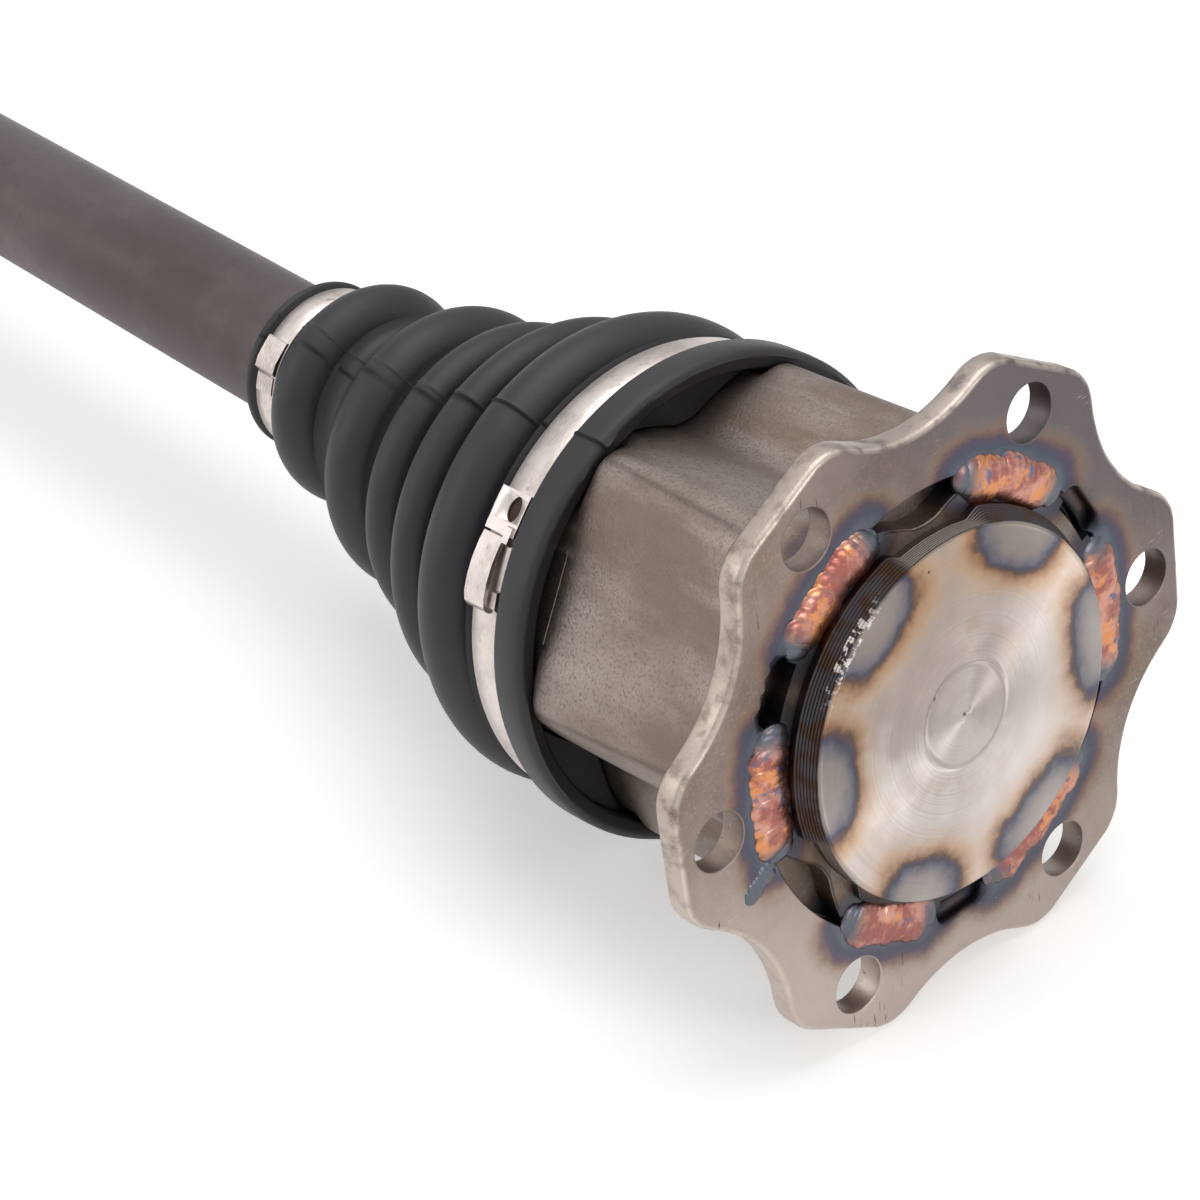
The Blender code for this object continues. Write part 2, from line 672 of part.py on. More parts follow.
def make_roller_set(number, inner_home, outer_home, looks):
    """Inner ring, needle row and ball-shaped roller of one trunnion."""
    bore, race, needle_in, needle_out, roller_bore = ring_sizes()
    half = ROLLER_WIDTH / 2 - ROLLER_REST
    ring = [(-half, bore), (-half, race), (half, race), (half, bore)]
    piece(f"inner_ring_{number}", turned(ring, COARSE, closed=True), looks["bright"], inner_home)
    outer, inner = [], []
    for k in range(NEEDLE_COUNT * 2):
        swell = NEEDLE_R * (0.0 if k % 2 else 0.3)
        outer.append(polar(needle_out - 0.3 * NEEDLE_R + swell, 180.0 * k / NEEDLE_COUNT))
        inner.append(polar(needle_in + 0.3 * NEEDLE_R - swell, 180.0 * k / NEEDLE_COUNT))
    needles = piece(f"needle_row_{number}", prism(outer, -half, half), looks["bright"], inner_home)
    shape(needles, prism(inner, -half - 1, half + 1))
    wide = ROLLER_WIDTH / 2
    edge = math.degrees(math.asin((wide - ROLLER_EDGE) / ROLLER_R))
    rim = ROLLER_R * math.cos(math.radians(edge)) - ROLLER_EDGE
    crown = arc(0, 0, ROLLER_R, 90 + edge, 90 - edge, 4)
    roller = crown + [(wide, rim), (wide, roller_bore), (-wide, roller_bore), (-wide, rim)]
    piece(f"roller_{number}", turned(roller, PLAIN, closed=True), looks["bright"], outer_home)


def circlip(start, radius):
    """An open snap ring."""
    inner = radius - CIRCLIP_WALL
    first = CIRCLIP_OPENING / 2
    sweep = 360 - CIRCLIP_OPENING
    outline = [polar(radius, first + sweep * i / 14) for i in range(15)]
    outline += [polar(inner, first + sweep * i / 14) for i in reversed(range(15))]
    return prism(outline, start, start + CIRCLIP_WIDTH)


# Bar shaft

def make_shaft(home, look):
    """Bar with a splined end in the spider and another in the race."""
    near_land = HUB_HALF + 3 * GAP + CIRCLIP_WIDTH
    far_land = JOINT_SPAN + RACE_HALF + 3 * GAP + CIRCLIP_WIDTH
    near = near_land + SHAFT_LAND
    far = far_land + SHAFT_LAND
    root = SPLINE_R - SPLINE_DEPTH
    groove = SPLINE_R - CIRCLIP_WALL / 2 - GAP
    near_teeth = (-HUB_HALF - 1.0, HUB_HALF - GAP)
    far_teeth = (-JOINT_SPAN - RACE_HALF + GAP, -JOINT_SPAN + RACE_HALF + 1.0)
    profile = [(near, 0), (near, root - 1.0), (near - 1.0, root), (near_land, root), (near_land, groove),
               (near_teeth[1] - GAP, groove), (near_teeth[0] - 2, NECK_R), (-NECK_END + 8, NECK_R),
               (-NECK_END, BAR_R), (-JOINT_SPAN + NECK_END, BAR_R), (-JOINT_SPAN + NECK_END - 8, NECK_R),
               (far_teeth[1] + 2, NECK_R), (far_teeth[0] + GAP, groove), (-far_land, groove),
               (-far_land, root), (-far + 1.0, root), (-far, root - 1.0), (-far, 0)]
    shaft = piece("bar_shaft", turned(profile, COARSE), look, home)
    teeth = spline_outline(SPLINE_R, SPLINE_DEPTH, SPLINE_TEETH)
    for start, end in (near_teeth, far_teeth):
        shape(shaft, prism(teeth, start, end), "UNION")
    return shaft


# Outer joint

def track_tool(offset, reach_back, reach_front):
    """Round groove of the ball's size, swept about a track centre that lies offset along X."""
    sides = 12
    count = 7 if offset > 0 else 6
    radius = math.hypot(BALL_PITCH_R, TRACK_OFFSET)
    size = clear(BALL_R + RUN, 360 / sides)
    outermost = radius + BALL_R + RUN
    step = (reach_back + reach_front) / (count - 1)
    swell = clear(outermost, step) - outermost if offset > 0 else 0.0
    lean = math.degrees(math.atan2(-offset, BALL_PITCH_R))
    rings = []
    for i in range(count):
        t = math.radians(lean - reach_back + step * i)
        along = Vector((math.sin(t), 0, math.cos(t)))
        ring = []
        for k in range(sides):
            u = 2 * math.pi * (k + 0.5) / sides
            out = (radius + swell + size * math.cos(u)) * along
            ring.append(Vector((offset, 0, 0)) + out + Vector((0, size * math.sin(u), 0)))
        rings.append(ring)
    return loft(rings)


def ball_angles():
    return [360.0 / BALL_COUNT * k for k in range(BALL_COUNT)]


def swing_about_x(bm, angle):
    bmesh.ops.rotate(bm, cent=(0, 0, 0), matrix=Matrix.Rotation(-math.radians(angle), 3, "X"), verts=bm.verts)
    return bm


def cage_radii():
    inner = BALL_PITCH_R - CAGE_WALL / 2
    return inner, inner + CAGE_WALL


def sphere_band(radius, half, count, hollow=False):
    """Arc of a sphere between two stations either side of its centre."""
    edge = math.degrees(math.asin(half / radius))
    if hollow:
        radius = clear(clear(radius, 2 * edge / (count - 1)), 360 / PLAIN)
    return arc(0, 0, radius, 90 + edge, 90 - edge, count)


def make_bell(home, look):
    """Bell with six curved ball tracks, splined stub and plain thread diameter."""
    seat = BELL_SEAT_START
    back = -BELL_BACK
    chamfer = 1.0
    spline_root = STUB_SPLINE_R - STUB_SPLINE_DEPTH
    spline_near, spline_far = (-edge for edge in STUB_SPLINE)
    profile = [(BELL_MOUTH, 0), (BELL_MOUTH, BELL_SEAT_R - chamfer), (BELL_MOUTH - chamfer, BELL_SEAT_R),
               (seat, BELL_SEAT_R), (seat, BELL_R - BELL_EDGE), (seat - BELL_EDGE, BELL_R)]
    profile += arc(-BELL_ROUND_START, BELL_R - BELL_ROUND, BELL_ROUND, 90, 158, 5)
    profile += [(back + 2 * chamfer, STUB_SHOULDER_R + 2 * chamfer), (back, STUB_SHOULDER_R),
                (spline_near + STUB_COLLAR, STUB_SHOULDER_R),
                (spline_near + STUB_COLLAR - chamfer, spline_root),
                (spline_far - STUB_RUNOUT + chamfer, spline_root), (spline_far - STUB_RUNOUT, STUB_THREAD_R),
                (-STUB_END + STUB_CHAMFER, STUB_THREAD_R), (-STUB_END, STUB_THREAD_R - STUB_CHAMFER),
                (-STUB_END, 0)]
    bell = piece("outer_joint_bell", turned(profile, PLAIN), look, home)
    teeth = spline_outline(STUB_SPLINE_R, STUB_SPLINE_DEPTH, STUB_SPLINE_TEETH)
    shape(bell, prism(teeth, spline_far, spline_near + STUB_COLLAR - chamfer / 2), "UNION")
    step = 12.0
    inside = clear(clear(cage_radii()[1] + GAP, step), 360 / PLAIN)
    hollow = [(-BELL_FLOOR, 0), (-BELL_FLOOR, math.sqrt(inside ** 2 - BELL_FLOOR ** 2))]
    hollow += arc(0, 0, inside, 90 + 4 * step, 90 - 2 * step, 7)
    hollow += [(BELL_MOUTH + 1, BALL_PITCH_R + BELL_MOUTH_STEP), (BELL_MOUTH + 1, 0)]
    shape(bell, turned(hollow, PLAIN))
    # the balls swing by half the joint's angle, and a track ends behind the last position
    track = math.hypot(BALL_PITCH_R, TRACK_OFFSET)
    reach = BEND_LIMIT / 2 + math.degrees(math.asin((BALL_R + 2 * RUN) / track))
    for angle in ball_angles():
        shape(bell, swing_about_x(track_tool(TRACK_OFFSET, reach, TRACK_OUT), angle))
    return bell


def make_race(home, look):
    """Inner race: a ball-shaped ring with six curved tracks, splined on the bar."""
    outer = cage_radii()[0] - GAP
    profile = [(-RACE_HALF, 0)] + sphere_band(outer, RACE_HALF, 5) + [(RACE_HALF, 0)]
    race = piece("inner_race", turned(profile, PLAIN), look, home)
    for angle in ball_angles():
        shape(race, swing_about_x(track_tool(-TRACK_OFFSET, RACE_SWEEP, RACE_SWEEP), angle))
    bore = spline_outline(SPLINE_R, SPLINE_DEPTH, SPLINE_TEETH, GAP)
    shape(race, prism(bore, -RACE_HALF - 1, RACE_HALF + 1))
    return race


def make_cage(home, look):
    """Ball cage: a spherical ring with one window for each ball."""
    inner, outer = cage_radii()
    profile = sphere_band(outer, CAGE_HALF, 5) + list(reversed(sphere_band(inner, CAGE_HALF - 1.5, 4, True)))
    cage = piece("ball_cage", turned(profile, PLAIN, closed=True), look, home)
    for angle in ball_angles():
        size = (2 * (BALL_R + RUN), 2 * CAGE_WINDOW_HALF, 4 * CAGE_WALL)
        shape(cage, block(size, (0, 0, BALL_PITCH_R), angle))
    return cage


def make_outer_boot(home, look):
    """Bellows between the bell and the bar, straight at rest."""
    collar = clear(BELL_SEAT_R + GAP, 360 / COARSE)
    groove = BELL_R - BAND_THICK - 2 * GAP
    start = BELL_SEAT_START + GAP
    band_start, band_end = OUTER_WIDE_BAND
    cuff_start, cuff_end = OUTER_CUFF
    outside = [(start, groove + 0.8), (band_start - 0.6, groove + 0.8), (band_start - 0.4, groove),
               (band_end + 0.4, groove), (band_end + 1.0, groove + 0.8),
               (BELL_MOUTH + 1.5, groove + 0.4), (BELL_MOUTH + 4.0, groove - 2.0)]
    outside += bellows(OUTER_CRESTS, OUTER_VALLEYS)
    outside += [(cuff_start, CUFF_R), (cuff_end - 2.2, CUFF_R), (cuff_end - 1.8, CUFF_R + 1),
                (cuff_end, CUFF_R + 1)]
    bore = clear(CUFF_BORE, 360 / COARSE)
    last = OUTER_VALLEYS[-1][0]
    inside = [(cuff_end, bore), (last + 1.0, bore)]
    valleys = OUTER_VALLEYS[:-1] + ((last, bore + BOOT_WALL, 1.0),)
    inside += reversed(inner_bellows(OUTER_CRESTS, valleys, BOOT_WALL))
    inside += [(BELL_MOUTH + 3.0, groove - 5.0), (BELL_MOUTH + GAP, groove - 4.0), (BELL_MOUTH + GAP, collar),
               (start, collar)]
    return piece("outer_boot", turned(outside + inside, COARSE, closed=True), look, home, sharp=60)


def main():
    for old in list(bpy.data.objects):
        bpy.data.objects.remove(old, do_unlink=True)
    looks = {
        "flange": steel("worn flange steel", (0.27, 0.22, 0.19), 0.42),
        "forged": steel("forged housing steel", (0.24, 0.20, 0.17), 0.4),
        "weld": steel("weld metal", (0.35, 0.17, 0.10), 0.38),
        "bar": steel("oxidised bar steel", (0.09, 0.075, 0.065), 0.5),
        "bright": steel("ground bearing steel", (0.55, 0.55, 0.56), 0.2),
        "clamp": steel("clamp steel", (0.52, 0.52, 0.52), 0.3),
        "rubber": rubber("boot rubber", (0.012, 0.012, 0.013), 0.55),
    }
    tilt = -math.radians(HOUSING_TILT)
    housing_home = frame("housing_frame", (0, 0, 0), (0, tilt, 0))
    axis = Vector((math.cos(tilt), 0, -math.sin(tilt)))
    spider_centre = axis * behind(SPIDER_DEPTH)
    shaft_home = frame("shaft_frame", spider_centre)
    make_flange(housing_home, looks["flange"])
    make_housing(housing_home, looks["forged"])
    make_welds(housing_home, looks["weld"])
    make_inner_boot(housing_home, looks["rubber"])
    wide = (behind(WIDE_BAND_END), behind(WIDE_BAND_AT))
    wide_ear = (WIDE_EAR_ANGLE, WIDE_EAR_LENGTH, WIDE_EAR_HEIGHT)
    narrow_ear = (NARROW_EAR_ANGLE, NARROW_EAR_LENGTH, NARROW_EAR_HEIGHT)
    make_clamp("inner_boot_wide_clamp", housing_home, looks["clamp"], wide, WIDE_BAND_R, wide_ear, FINE)
    narrow = (-NARROW_BAND[1], -NARROW_BAND[0])
    make_clamp("inner_boot_narrow_clamp", shaft_home, looks["clamp"], narrow, NARROW_BAND_R, narrow_ear,
               COARSE)

    make_spider(shaft_home, looks["forged"])
    for number, angle in enumerate(lobe_angles(), 1):
        y, z = polar(PITCH_R, angle)
        centre = spider_centre + Vector((0, y, z))
        turn = trunnion_turn(angle).to_matrix()
        if angle == 180.0:
            # this set stays square to the housing, the other two to the spider
            turn = Matrix.Rotation(tilt, 3, "Y") @ turn
        home = frame(f"roller_frame_{number}", centre, turn.to_euler())
        make_roller_set(number, home, home, looks)
    piece("spider_circlip", circlip(HUB_HALF + GAP, SPLINE_R + CIRCLIP_WALL / 2), looks["bright"], shaft_home)
    make_shaft(shaft_home, looks["bar"])

    outer = spider_centre.x - JOINT_SPAN
    joint_home = frame("outer_joint_frame", (outer, 0, spider_centre.z))
    make_bell(joint_home, looks["forged"])
    make_race(joint_home, looks["bright"])
    make_cage(joint_home, looks["bright"])
    for number, angle in enumerate(ball_angles(), 1):
        home = frame(f"track_centre_{number}", (outer + TRACK_OFFSET, 0, spider_centre.z))
        bm = turned(arc(0, 0, BALL_R, 180, 0, 8), 12)
        y, z = polar(BALL_PITCH_R, angle)
        bmesh.ops.translate(bm, vec=(-TRACK_OFFSET * MM, y * MM, z * MM), verts=bm.verts)
        piece(f"ball_{number}", bm, looks["bright"], home)
    clip = circlip(-RACE_HALF - GAP - CIRCLIP_WIDTH, SPLINE_R + CIRCLIP_WALL / 2)
    piece("race_circlip", clip, looks["bright"], joint_home)
    make_outer_boot(joint_home, looks["rubber"])
    wide_ear = (OUTER_EAR_ANGLE, WIDE_EAR_LENGTH, WIDE_EAR_HEIGHT)
    narrow_ear = (OUTER_EAR_ANGLE, NARROW_EAR_LENGTH, NARROW_EAR_HEIGHT)
    make_clamp("outer_boot_wide_clamp", joint_home, looks["clamp"], OUTER_WIDE_BAND, BELL_R - GAP, wide_ear,
               PLAIN)
    narrow = (OUTER_CUFF[0] + 0.6, OUTER_CUFF[1] - 2.8)
    make_clamp("outer_boot_narrow_clamp", joint_home, looks["clamp"], narrow, NARROW_BAND_R, narrow_ear,
               COARSE)


main()
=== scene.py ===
"""Looks of a drive axle: flanged tripod joint, bellows boot, bar shaft, ball joint and stub.

Works as a Blender add-on: the panel in the 3D view's sidebar has a button for every piece
and the sizes and finishes that they are made from. main() presses all the buttons in turn.
Sizes in the code are millimetres and degrees unless a property says otherwise; angles go
round an axis from up towards +Y.
"""
import math

import bmesh
import bpy
import numpy as np
from mathutils import Matrix, Vector, geometry


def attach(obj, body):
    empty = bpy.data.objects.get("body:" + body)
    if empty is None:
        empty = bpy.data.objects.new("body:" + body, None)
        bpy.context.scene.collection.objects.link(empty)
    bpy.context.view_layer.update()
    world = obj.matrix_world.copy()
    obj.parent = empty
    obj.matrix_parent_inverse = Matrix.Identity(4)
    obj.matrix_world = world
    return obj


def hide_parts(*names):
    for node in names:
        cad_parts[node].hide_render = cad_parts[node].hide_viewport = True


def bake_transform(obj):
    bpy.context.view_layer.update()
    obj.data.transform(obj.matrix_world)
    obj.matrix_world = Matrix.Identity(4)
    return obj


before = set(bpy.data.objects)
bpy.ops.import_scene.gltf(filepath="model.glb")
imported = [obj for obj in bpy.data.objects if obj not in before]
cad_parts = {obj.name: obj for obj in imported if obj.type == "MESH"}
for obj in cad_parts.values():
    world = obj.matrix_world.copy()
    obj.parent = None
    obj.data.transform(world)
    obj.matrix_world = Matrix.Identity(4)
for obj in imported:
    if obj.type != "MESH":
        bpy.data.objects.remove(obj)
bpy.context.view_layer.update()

bl_info = {
    "name": "Drive axle looks",
    "version": (1, 0, 0),
    "blender": (4, 5, 0),
    "location": "3D View > Sidebar > Axle",
    "description": "Detailed pieces and finishes for a drive axle with two boots",
    "category": "Object",
}

MM = 0.001

# Places of the CAD part
TILT = 5.0                # the housing's axis rises this much towards the flange
BOSS_PROUD = 4.6          # boss face in front of the flange's front face
SPIDER_DEPTH = 35.6       # spider centre behind the flange's front face
JOINT_SPAN = 380.0        # spider centre to the outer joint's centre
FLOOR_Z = -48.15

HOUSING = Matrix.Rotation(-math.radians(TILT), 4, "Y")
SPIDER_AT = HOUSING @ Vector((-(SPIDER_DEPTH + BOSS_PROUD) * MM, 0, 0))
AXLE = Matrix.Translation(SPIDER_AT)
OUTER = Matrix.Translation(SPIDER_AT - Vector((JOINT_SPAN * MM, 0, 0)))

# Flange
BOLT_CIRCLE = 43.0
BOLT_HOLE = 4.43
FLANGE_TIP = 50.6
SCALLOP = 23.9
SCALLOP_FLOOR = 43.6
LOBE_CORNER = 8.0
FLANGE_THICK = 4.3
OPENING = 34.7
NOTCH = (12.0, 2.8)       # pockets in the opening's edge: width, reach outwards
LOBES = (60.0, 180.0, 300.0)
BOLTS = tuple(30.0 + 60.0 * k for k in range(6))

# Weld beads: first and last angle of each
BEADS = ((309, 343), (256, 291), (12, 48), (71, 110), (190, 222), (130, 171))
BEAD_R = 33.5
# Run of metal below the second bead: radius and angle
BEAD_DRIP = ((35.5, 256.0), (38.5, 254.5), (41.0, 253.2))
BEAD_LEAN = -11.0
BEAD_UNEVEN = 0.09

# Housing
SPIGOT = 34.4
LOBE_FACE = 33.8
CORNER_AT = 31.8
SHOULDER = 5.5
FACE_HALF = 12.5
VALLEY = 29.4
VALLEY_CURVE = 10.0
HOUSING_END = 62.0
CAVITY_FLOOR = 6.0
SEAT = 35.0
PITCH = 22.3
TRACK_HALF = 18.2
TRACK_CAP = 30.0
BORE = 21.3
SEAT_RING = 3.9           # behind the slots the spigot fills the flange's opening
SLOT = (8.0, 3.4, 32.5)   # dark slots in the spigot: width, depth, inner radius
BOSS = 28.3
BOSS_FOOT = 30.0
BOSS_SIDE = 3.6           # the boss's ridged side, from its face backwards
RIDGES = (8, 0.42, 0.12)  # ridges on that side: count, pitch, height
BORE_RIM = 4.5            # room round the tripod at the housing's open end
EDGE = 0.35               # softened edges of the spigot
SKIN_WAVE = 0.08          # unevenness of the forging

# Inner boot, stations from the spider's centre
FRONT = 11.4
GROOVE = (18.1, 25.1)
GROOVE_R = 36.4
LIP = 39.3
CRESTS = ((34.3, 38.5, 6.0), (48.8, 33.1, 4.0), (62.8, 27.3, 4.0), (76.6, 24.5, 5.5), (97.9, 19.3, 5.5))
VALLEYS = ((42.2, 27.0, 1.8), (56.2, 22.0, 1.8), (69.3, 19.6, 1.8), (87.6, 16.6, 2.6),
           (104.0, 14.4, 1.2))
CUFF = (105.1, 110.9, 113.2)
CUFF_R = 13.5
CUFF_LIP = 15.0
WALL = 2.3
PARTING = 333.0           # the mould's parting line, and another one opposite

# Clamps
WIDE_BAND = (18.6, 24.6)
WIDE_BAND_R = 37.5
NARROW_BAND = (105.5, 110.5)
NARROW_BAND_R = 14.6
STRAP = 0.8
WIDE_EAR = 302.5          # angle of the wide clamp's closing ear
NARROW_EAR = 306.0
# Ear pieces: angles from the ear's middle and heights over the band, along each strip
EAR_TONGUE = ((3.4, 1.0), (1.0, 1.35), (-3.0, 1.75), (-7.0, 1.95), (-10.5, 1.95), (-12.6, 1.7),
              (-13.6, 1.15), (-14.0, 0.5))
EAR_HOOK = ((-8.4, 0.3), (-8.8, 0.85), (-12.4, 0.85), (-13.2, 0.3))
EAR_ROLL = ((6.4, 0.7), (6.0, 1.35), (2.4, 1.45), (1.9, 0.8))
NARROW_LAP = ((13, 0.3), (12, 0.5), (4, 0.6), (-3, 0.85), (-9, 0.8), (-10.5, 0.35))

# Bar shaft
BAR = 11.8
NECK = 10.8
NECK_END = 52.0
SPLINE = (11.5, 0.9, 22)
HUB_HALF = 11.0
RACE_HALF = 12.0

# Outer joint
BALL = 8.85
BALL_PITCH = 31.0
BALL_OFFSET = 3.0
BELL = 44.65
BELL_SEAT = 41.2
BELL_MOUTH = 21.0
BELL_MOUTH_R = 36.0
BELL_SHOULDER = 24.0      # rounding of the bell's outside towards the stub
CAGE_SEAT = 33.9          # round inside of the bell, where the cage turns
STUB_SPLINE = (14.0, 1.1, 24)
STUB_THREAD = (11.0, 0.7, 1.5)
STUB = (38.0, 48.0, 92.0, 118.0)
OUTER_CRESTS = ((33.0, 38.0, 4.5), (45.5, 33.5, 4.0), (57.5, 28.5, 4.0), (69.0, 23.5, 3.5))
OUTER_VALLEYS = ((39.5, 28.0, 1.5), (51.5, 23.5, 1.5), (63.5, 19.0, 1.5), (75.5, 15.4, 1.5))
OUTER_CUFF = (77.5, 86.0)
OUTER_BAND = (9.5, 15.5)


# Nodes and materials

def linear(code):
    """Linear colour of an sRGB hex code."""
    parts = [int(code[i:i + 2], 16) / 255 for i in (1, 3, 5)]
    return (*[c / 12.92 if c <= 0.04045 else ((c + 0.055) / 1.055) ** 2.4 for c in parts], 1.0)


def add(tree, kind, settings=None, inputs=None):
    """Adds a node; an input takes a value or another node's output."""
    node = tree.nodes.new(kind)
    for name, value in (settings or {}).items():
        setattr(node, name, value)
    for key, value in (inputs or {}).items():
        if isinstance(value, bpy.types.NodeSocket):
            tree.links.new(value, node.inputs[key])
        else:
            node.inputs[key].default_value = value
    return node


def stops(node, *pairs):
    """Sets a colour ramp's stops: place and sRGB code, or place and grey value."""
    ramp = node.color_ramp
    while len(ramp.elements) < len(pairs):
        ramp.elements.new(0.5)
    for element, (place, value) in zip(ramp.elements, pairs):
        element.position = place
        element.color = linear(value) if isinstance(value, str) else (value, value, value, 1.0)
    return node


class Look:
    """A material that is built up in layers."""

    def __init__(self, name, colour, metallic, rough):
        self.material = bpy.data.materials.new(name)
        self.material.use_nodes = True
        self.tree = self.material.node_tree
        self.shader = self.tree.nodes["Principled BSDF"]
        self.place = add(self.tree, "ShaderNodeTexCoord").outputs["Object"]
        self.shader.inputs["Base Color"].default_value = colour
        self.shader.inputs["Metallic"].default_value = metallic
        self.shader.inputs["Roughness"].default_value = rough

    def node(self, kind, settings=None, inputs=None):
        return add(self.tree, kind, settings, inputs)

    def now(self, name):
        """What a shader input has so far: the link's source or the value."""
        socket = self.shader.inputs[name]
        if socket.links:
            return socket.links[0].from_socket
        value = socket.default_value
        return tuple(value) if hasattr(value, "__len__") else value

    def noise(self, size, low=0.4, high=0.6, detail=5.0, stretch=None, seed=0.0):
        """Soft patches of a size in mm, as 0 to 1 between two noise levels."""
        place = self.place
        if stretch:
            place = self.node("ShaderNodeMapping", {}, {"Vector": place, "Scale": stretch}).outputs[0]
        noise = self.node("ShaderNodeTexNoise", {"noise_dimensions": "4D"},
                          {"Vector": place, "W": seed, "Scale": 1.0 / (size * MM), "Detail": detail,
                           "Roughness": 0.6})
        level = self.node("ShaderNodeMapRange", {"interpolation_type": "SMOOTHSTEP"},
                          {0: noise.outputs["Fac"], 1: low, 2: high})
        return level.outputs[0]

    def specks(self, size, share, seed=0.0):
        """Scattered round specks: 1 inside a speck; share is a speck's radius against its cell."""
        cells = self.node("ShaderNodeTexVoronoi", {"voronoi_dimensions": "4D"},
                          {"Vector": self.place, "W": seed, "Scale": 1.0 / (size * MM),
                           "Randomness": 1.0})
        level = self.node("ShaderNodeMapRange", {}, {0: cells.outputs["Distance"], 1: share,
                                                     2: share * 0.6})
        return level.outputs[0]

    def both(self, a, b, operation="MULTIPLY"):
        return self.node("ShaderNodeMath", {"operation": operation, "use_clamp": True},
                         {0: a, 1: b}).outputs[0]

    def mark(self, name):
        """A value that the mesh carries at its vertices."""
        return self.node("ShaderNodeAttribute", {"attribute_name": name}).outputs["Fac"]

    def over(self, factor, colour, rough=None, metallic=None):
        """Lays another finish over what is there so far."""
        top = linear(colour) if isinstance(colour, str) else colour
        mix = self.node("ShaderNodeMix", {"data_type": "RGBA"},
                        {0: factor, 6: self.now("Base Color"), 7: top})
        self.tree.links.new(mix.outputs[2], self.shader.inputs["Base Color"])
        for name, value in (("Roughness", rough), ("Metallic", metallic)):
            if value is not None:
                mix = self.node("ShaderNodeMix", {"data_type": "FLOAT"},
                                {0: factor, 2: self.now(name), 3: value})
                self.tree.links.new(mix.outputs[0], self.shader.inputs[name])
        return self

    def slope(self, direction, start, end):
        """Goes from 0 to 1 along a direction, between two places in mm."""
        run = self.node("ShaderNodeVectorMath", {"operation": "DOT_PRODUCT"},
                        {0: self.place, 1: direction})
        level = self.node("ShaderNodeMapRange", {"interpolation_type": "SMOOTHSTEP"},
                          {0: run.outputs["Value"], 1: start * MM, 2: end * MM})
        return level.outputs[0]

    def raise_by(self, height, depth):
        """Adds relief of a depth in mm."""
        bump = self.node("ShaderNodeBump", {}, {"Height": height, "Distance": depth * MM,
                                                "Strength": 1.0})
        normal = self.shader.inputs["Normal"]
        if normal.links:
            self.tree.links.new(normal.links[0].from_socket, bump.inputs["Normal"])
        self.tree.links.new(bump.outputs["Normal"], normal)
        return self

    def local(self):
        """Place in the housing's own frame, whose x is the housing's axis."""
        return self.node("ShaderNodeMapping", {},
                         {"Vector": self.place, "Rotation": (0, math.radians(TILT), 0)}).outputs[0]

    def heat(self, *colours):
        """Temper colours round a weld; the mesh carries how far out of the zone a point is."""
        waver = self.node("ShaderNodeMath", {"operation": "MULTIPLY_ADD"},
                          {0: self.noise(5, 0.3, 0.7), 1: 0.16, 2: self.mark("tempered")}).outputs[0]
        waver = self.node("ShaderNodeMath", {"operation": "SUBTRACT"}, {0: waver, 1: 0.08}).outputs[0]
        waver = self.node("ShaderNodeMath", {"operation": "MULTIPLY"}, {0: waver, 1: 0.55}).outputs[0]
        tints = stops(self.node("ShaderNodeValToRGB", {}, {0: waver}),
                      *[(place * 0.55, code) for place, code, _ in colours])
        share = stops(self.node("ShaderNodeValToRGB", {}, {0: waver}),
                      *[(place * 0.55, amount) for place, _, amount in colours])
        return self.over(share.outputs[0], tints.outputs[0])


def flange_steel(props):
    """Hot-rolled steel plate: brownish grey, scratched, speckled with rust, rim worn bright."""
    look = Look("scratched flange steel", props.flange_colour, 1.0, 0.45)
    look.over(look.noise(15, 0.35, 0.65), "#7c6e67", 0.52)
    look.over(look.noise(6, 0.5, 0.75, seed=3.0), "#8b7664")
    look.over(look.both(look.noise(0.5, 0.5, 0.75, detail=2.0, seed=5.0), 0.6), "#9c918a", 0.42)
    # paler towards the bottom and the left, darker at the top right
    look.over(look.both(look.slope((0, -0.35, -0.94), 8, 46), 0.75), "#c3b6af", 0.42)
    look.over(look.both(look.slope((0, 0.6, 0.8), 12, 44), 0.85), "#625c60", 0.46)
    scratches = look.both(look.noise(0.35, 0.62, 0.7, 2.0, (1.0, 0.05, 1.0), 1.0),
                          look.noise(9, 0.54, 0.62, seed=2.0))
    look.over(scratches, "#aea39b", 0.34)
    scratches = look.both(look.noise(0.35, 0.62, 0.7, 2.0, (0.5, 1.0, 0.06), 4.0),
                          look.noise(9, 0.52, 0.62, seed=7.0))
    look.over(scratches, "#63574f", 0.5)
    look.heat((0.0, "#6e7078", 0.9), (0.35, "#626771", 0.92), (0.6, "#4a5160", 0.92),
              (0.75, "#54495a", 0.85),
              (0.87, "#6f5650", 0.7), (1.0, "#8d6f58", 0.4), (1.25, "#94857e", 0.0))
    # painted shade in the pockets at the opening's edge
    look.over(look.mark("soot"), "#2a2e34", 0.3, 0.9)
    look.over(look.both(look.specks(5.2, 0.13), look.noise(9, 0.5, 0.62, seed=5.0)), "#5f4330", 0.8,
              0.3)
    look.over(look.specks(2.3, 0.08, 2.0), "#cfc5bd", 0.3)
    look.over(look.both(look.mark("wear"), look.noise(3.2, 0.3, 0.56, seed=8.0)), "#c9bcb1", 0.3)
    look.raise_by(look.noise(0.5, 0.2, 0.8), 0.02)
    return look


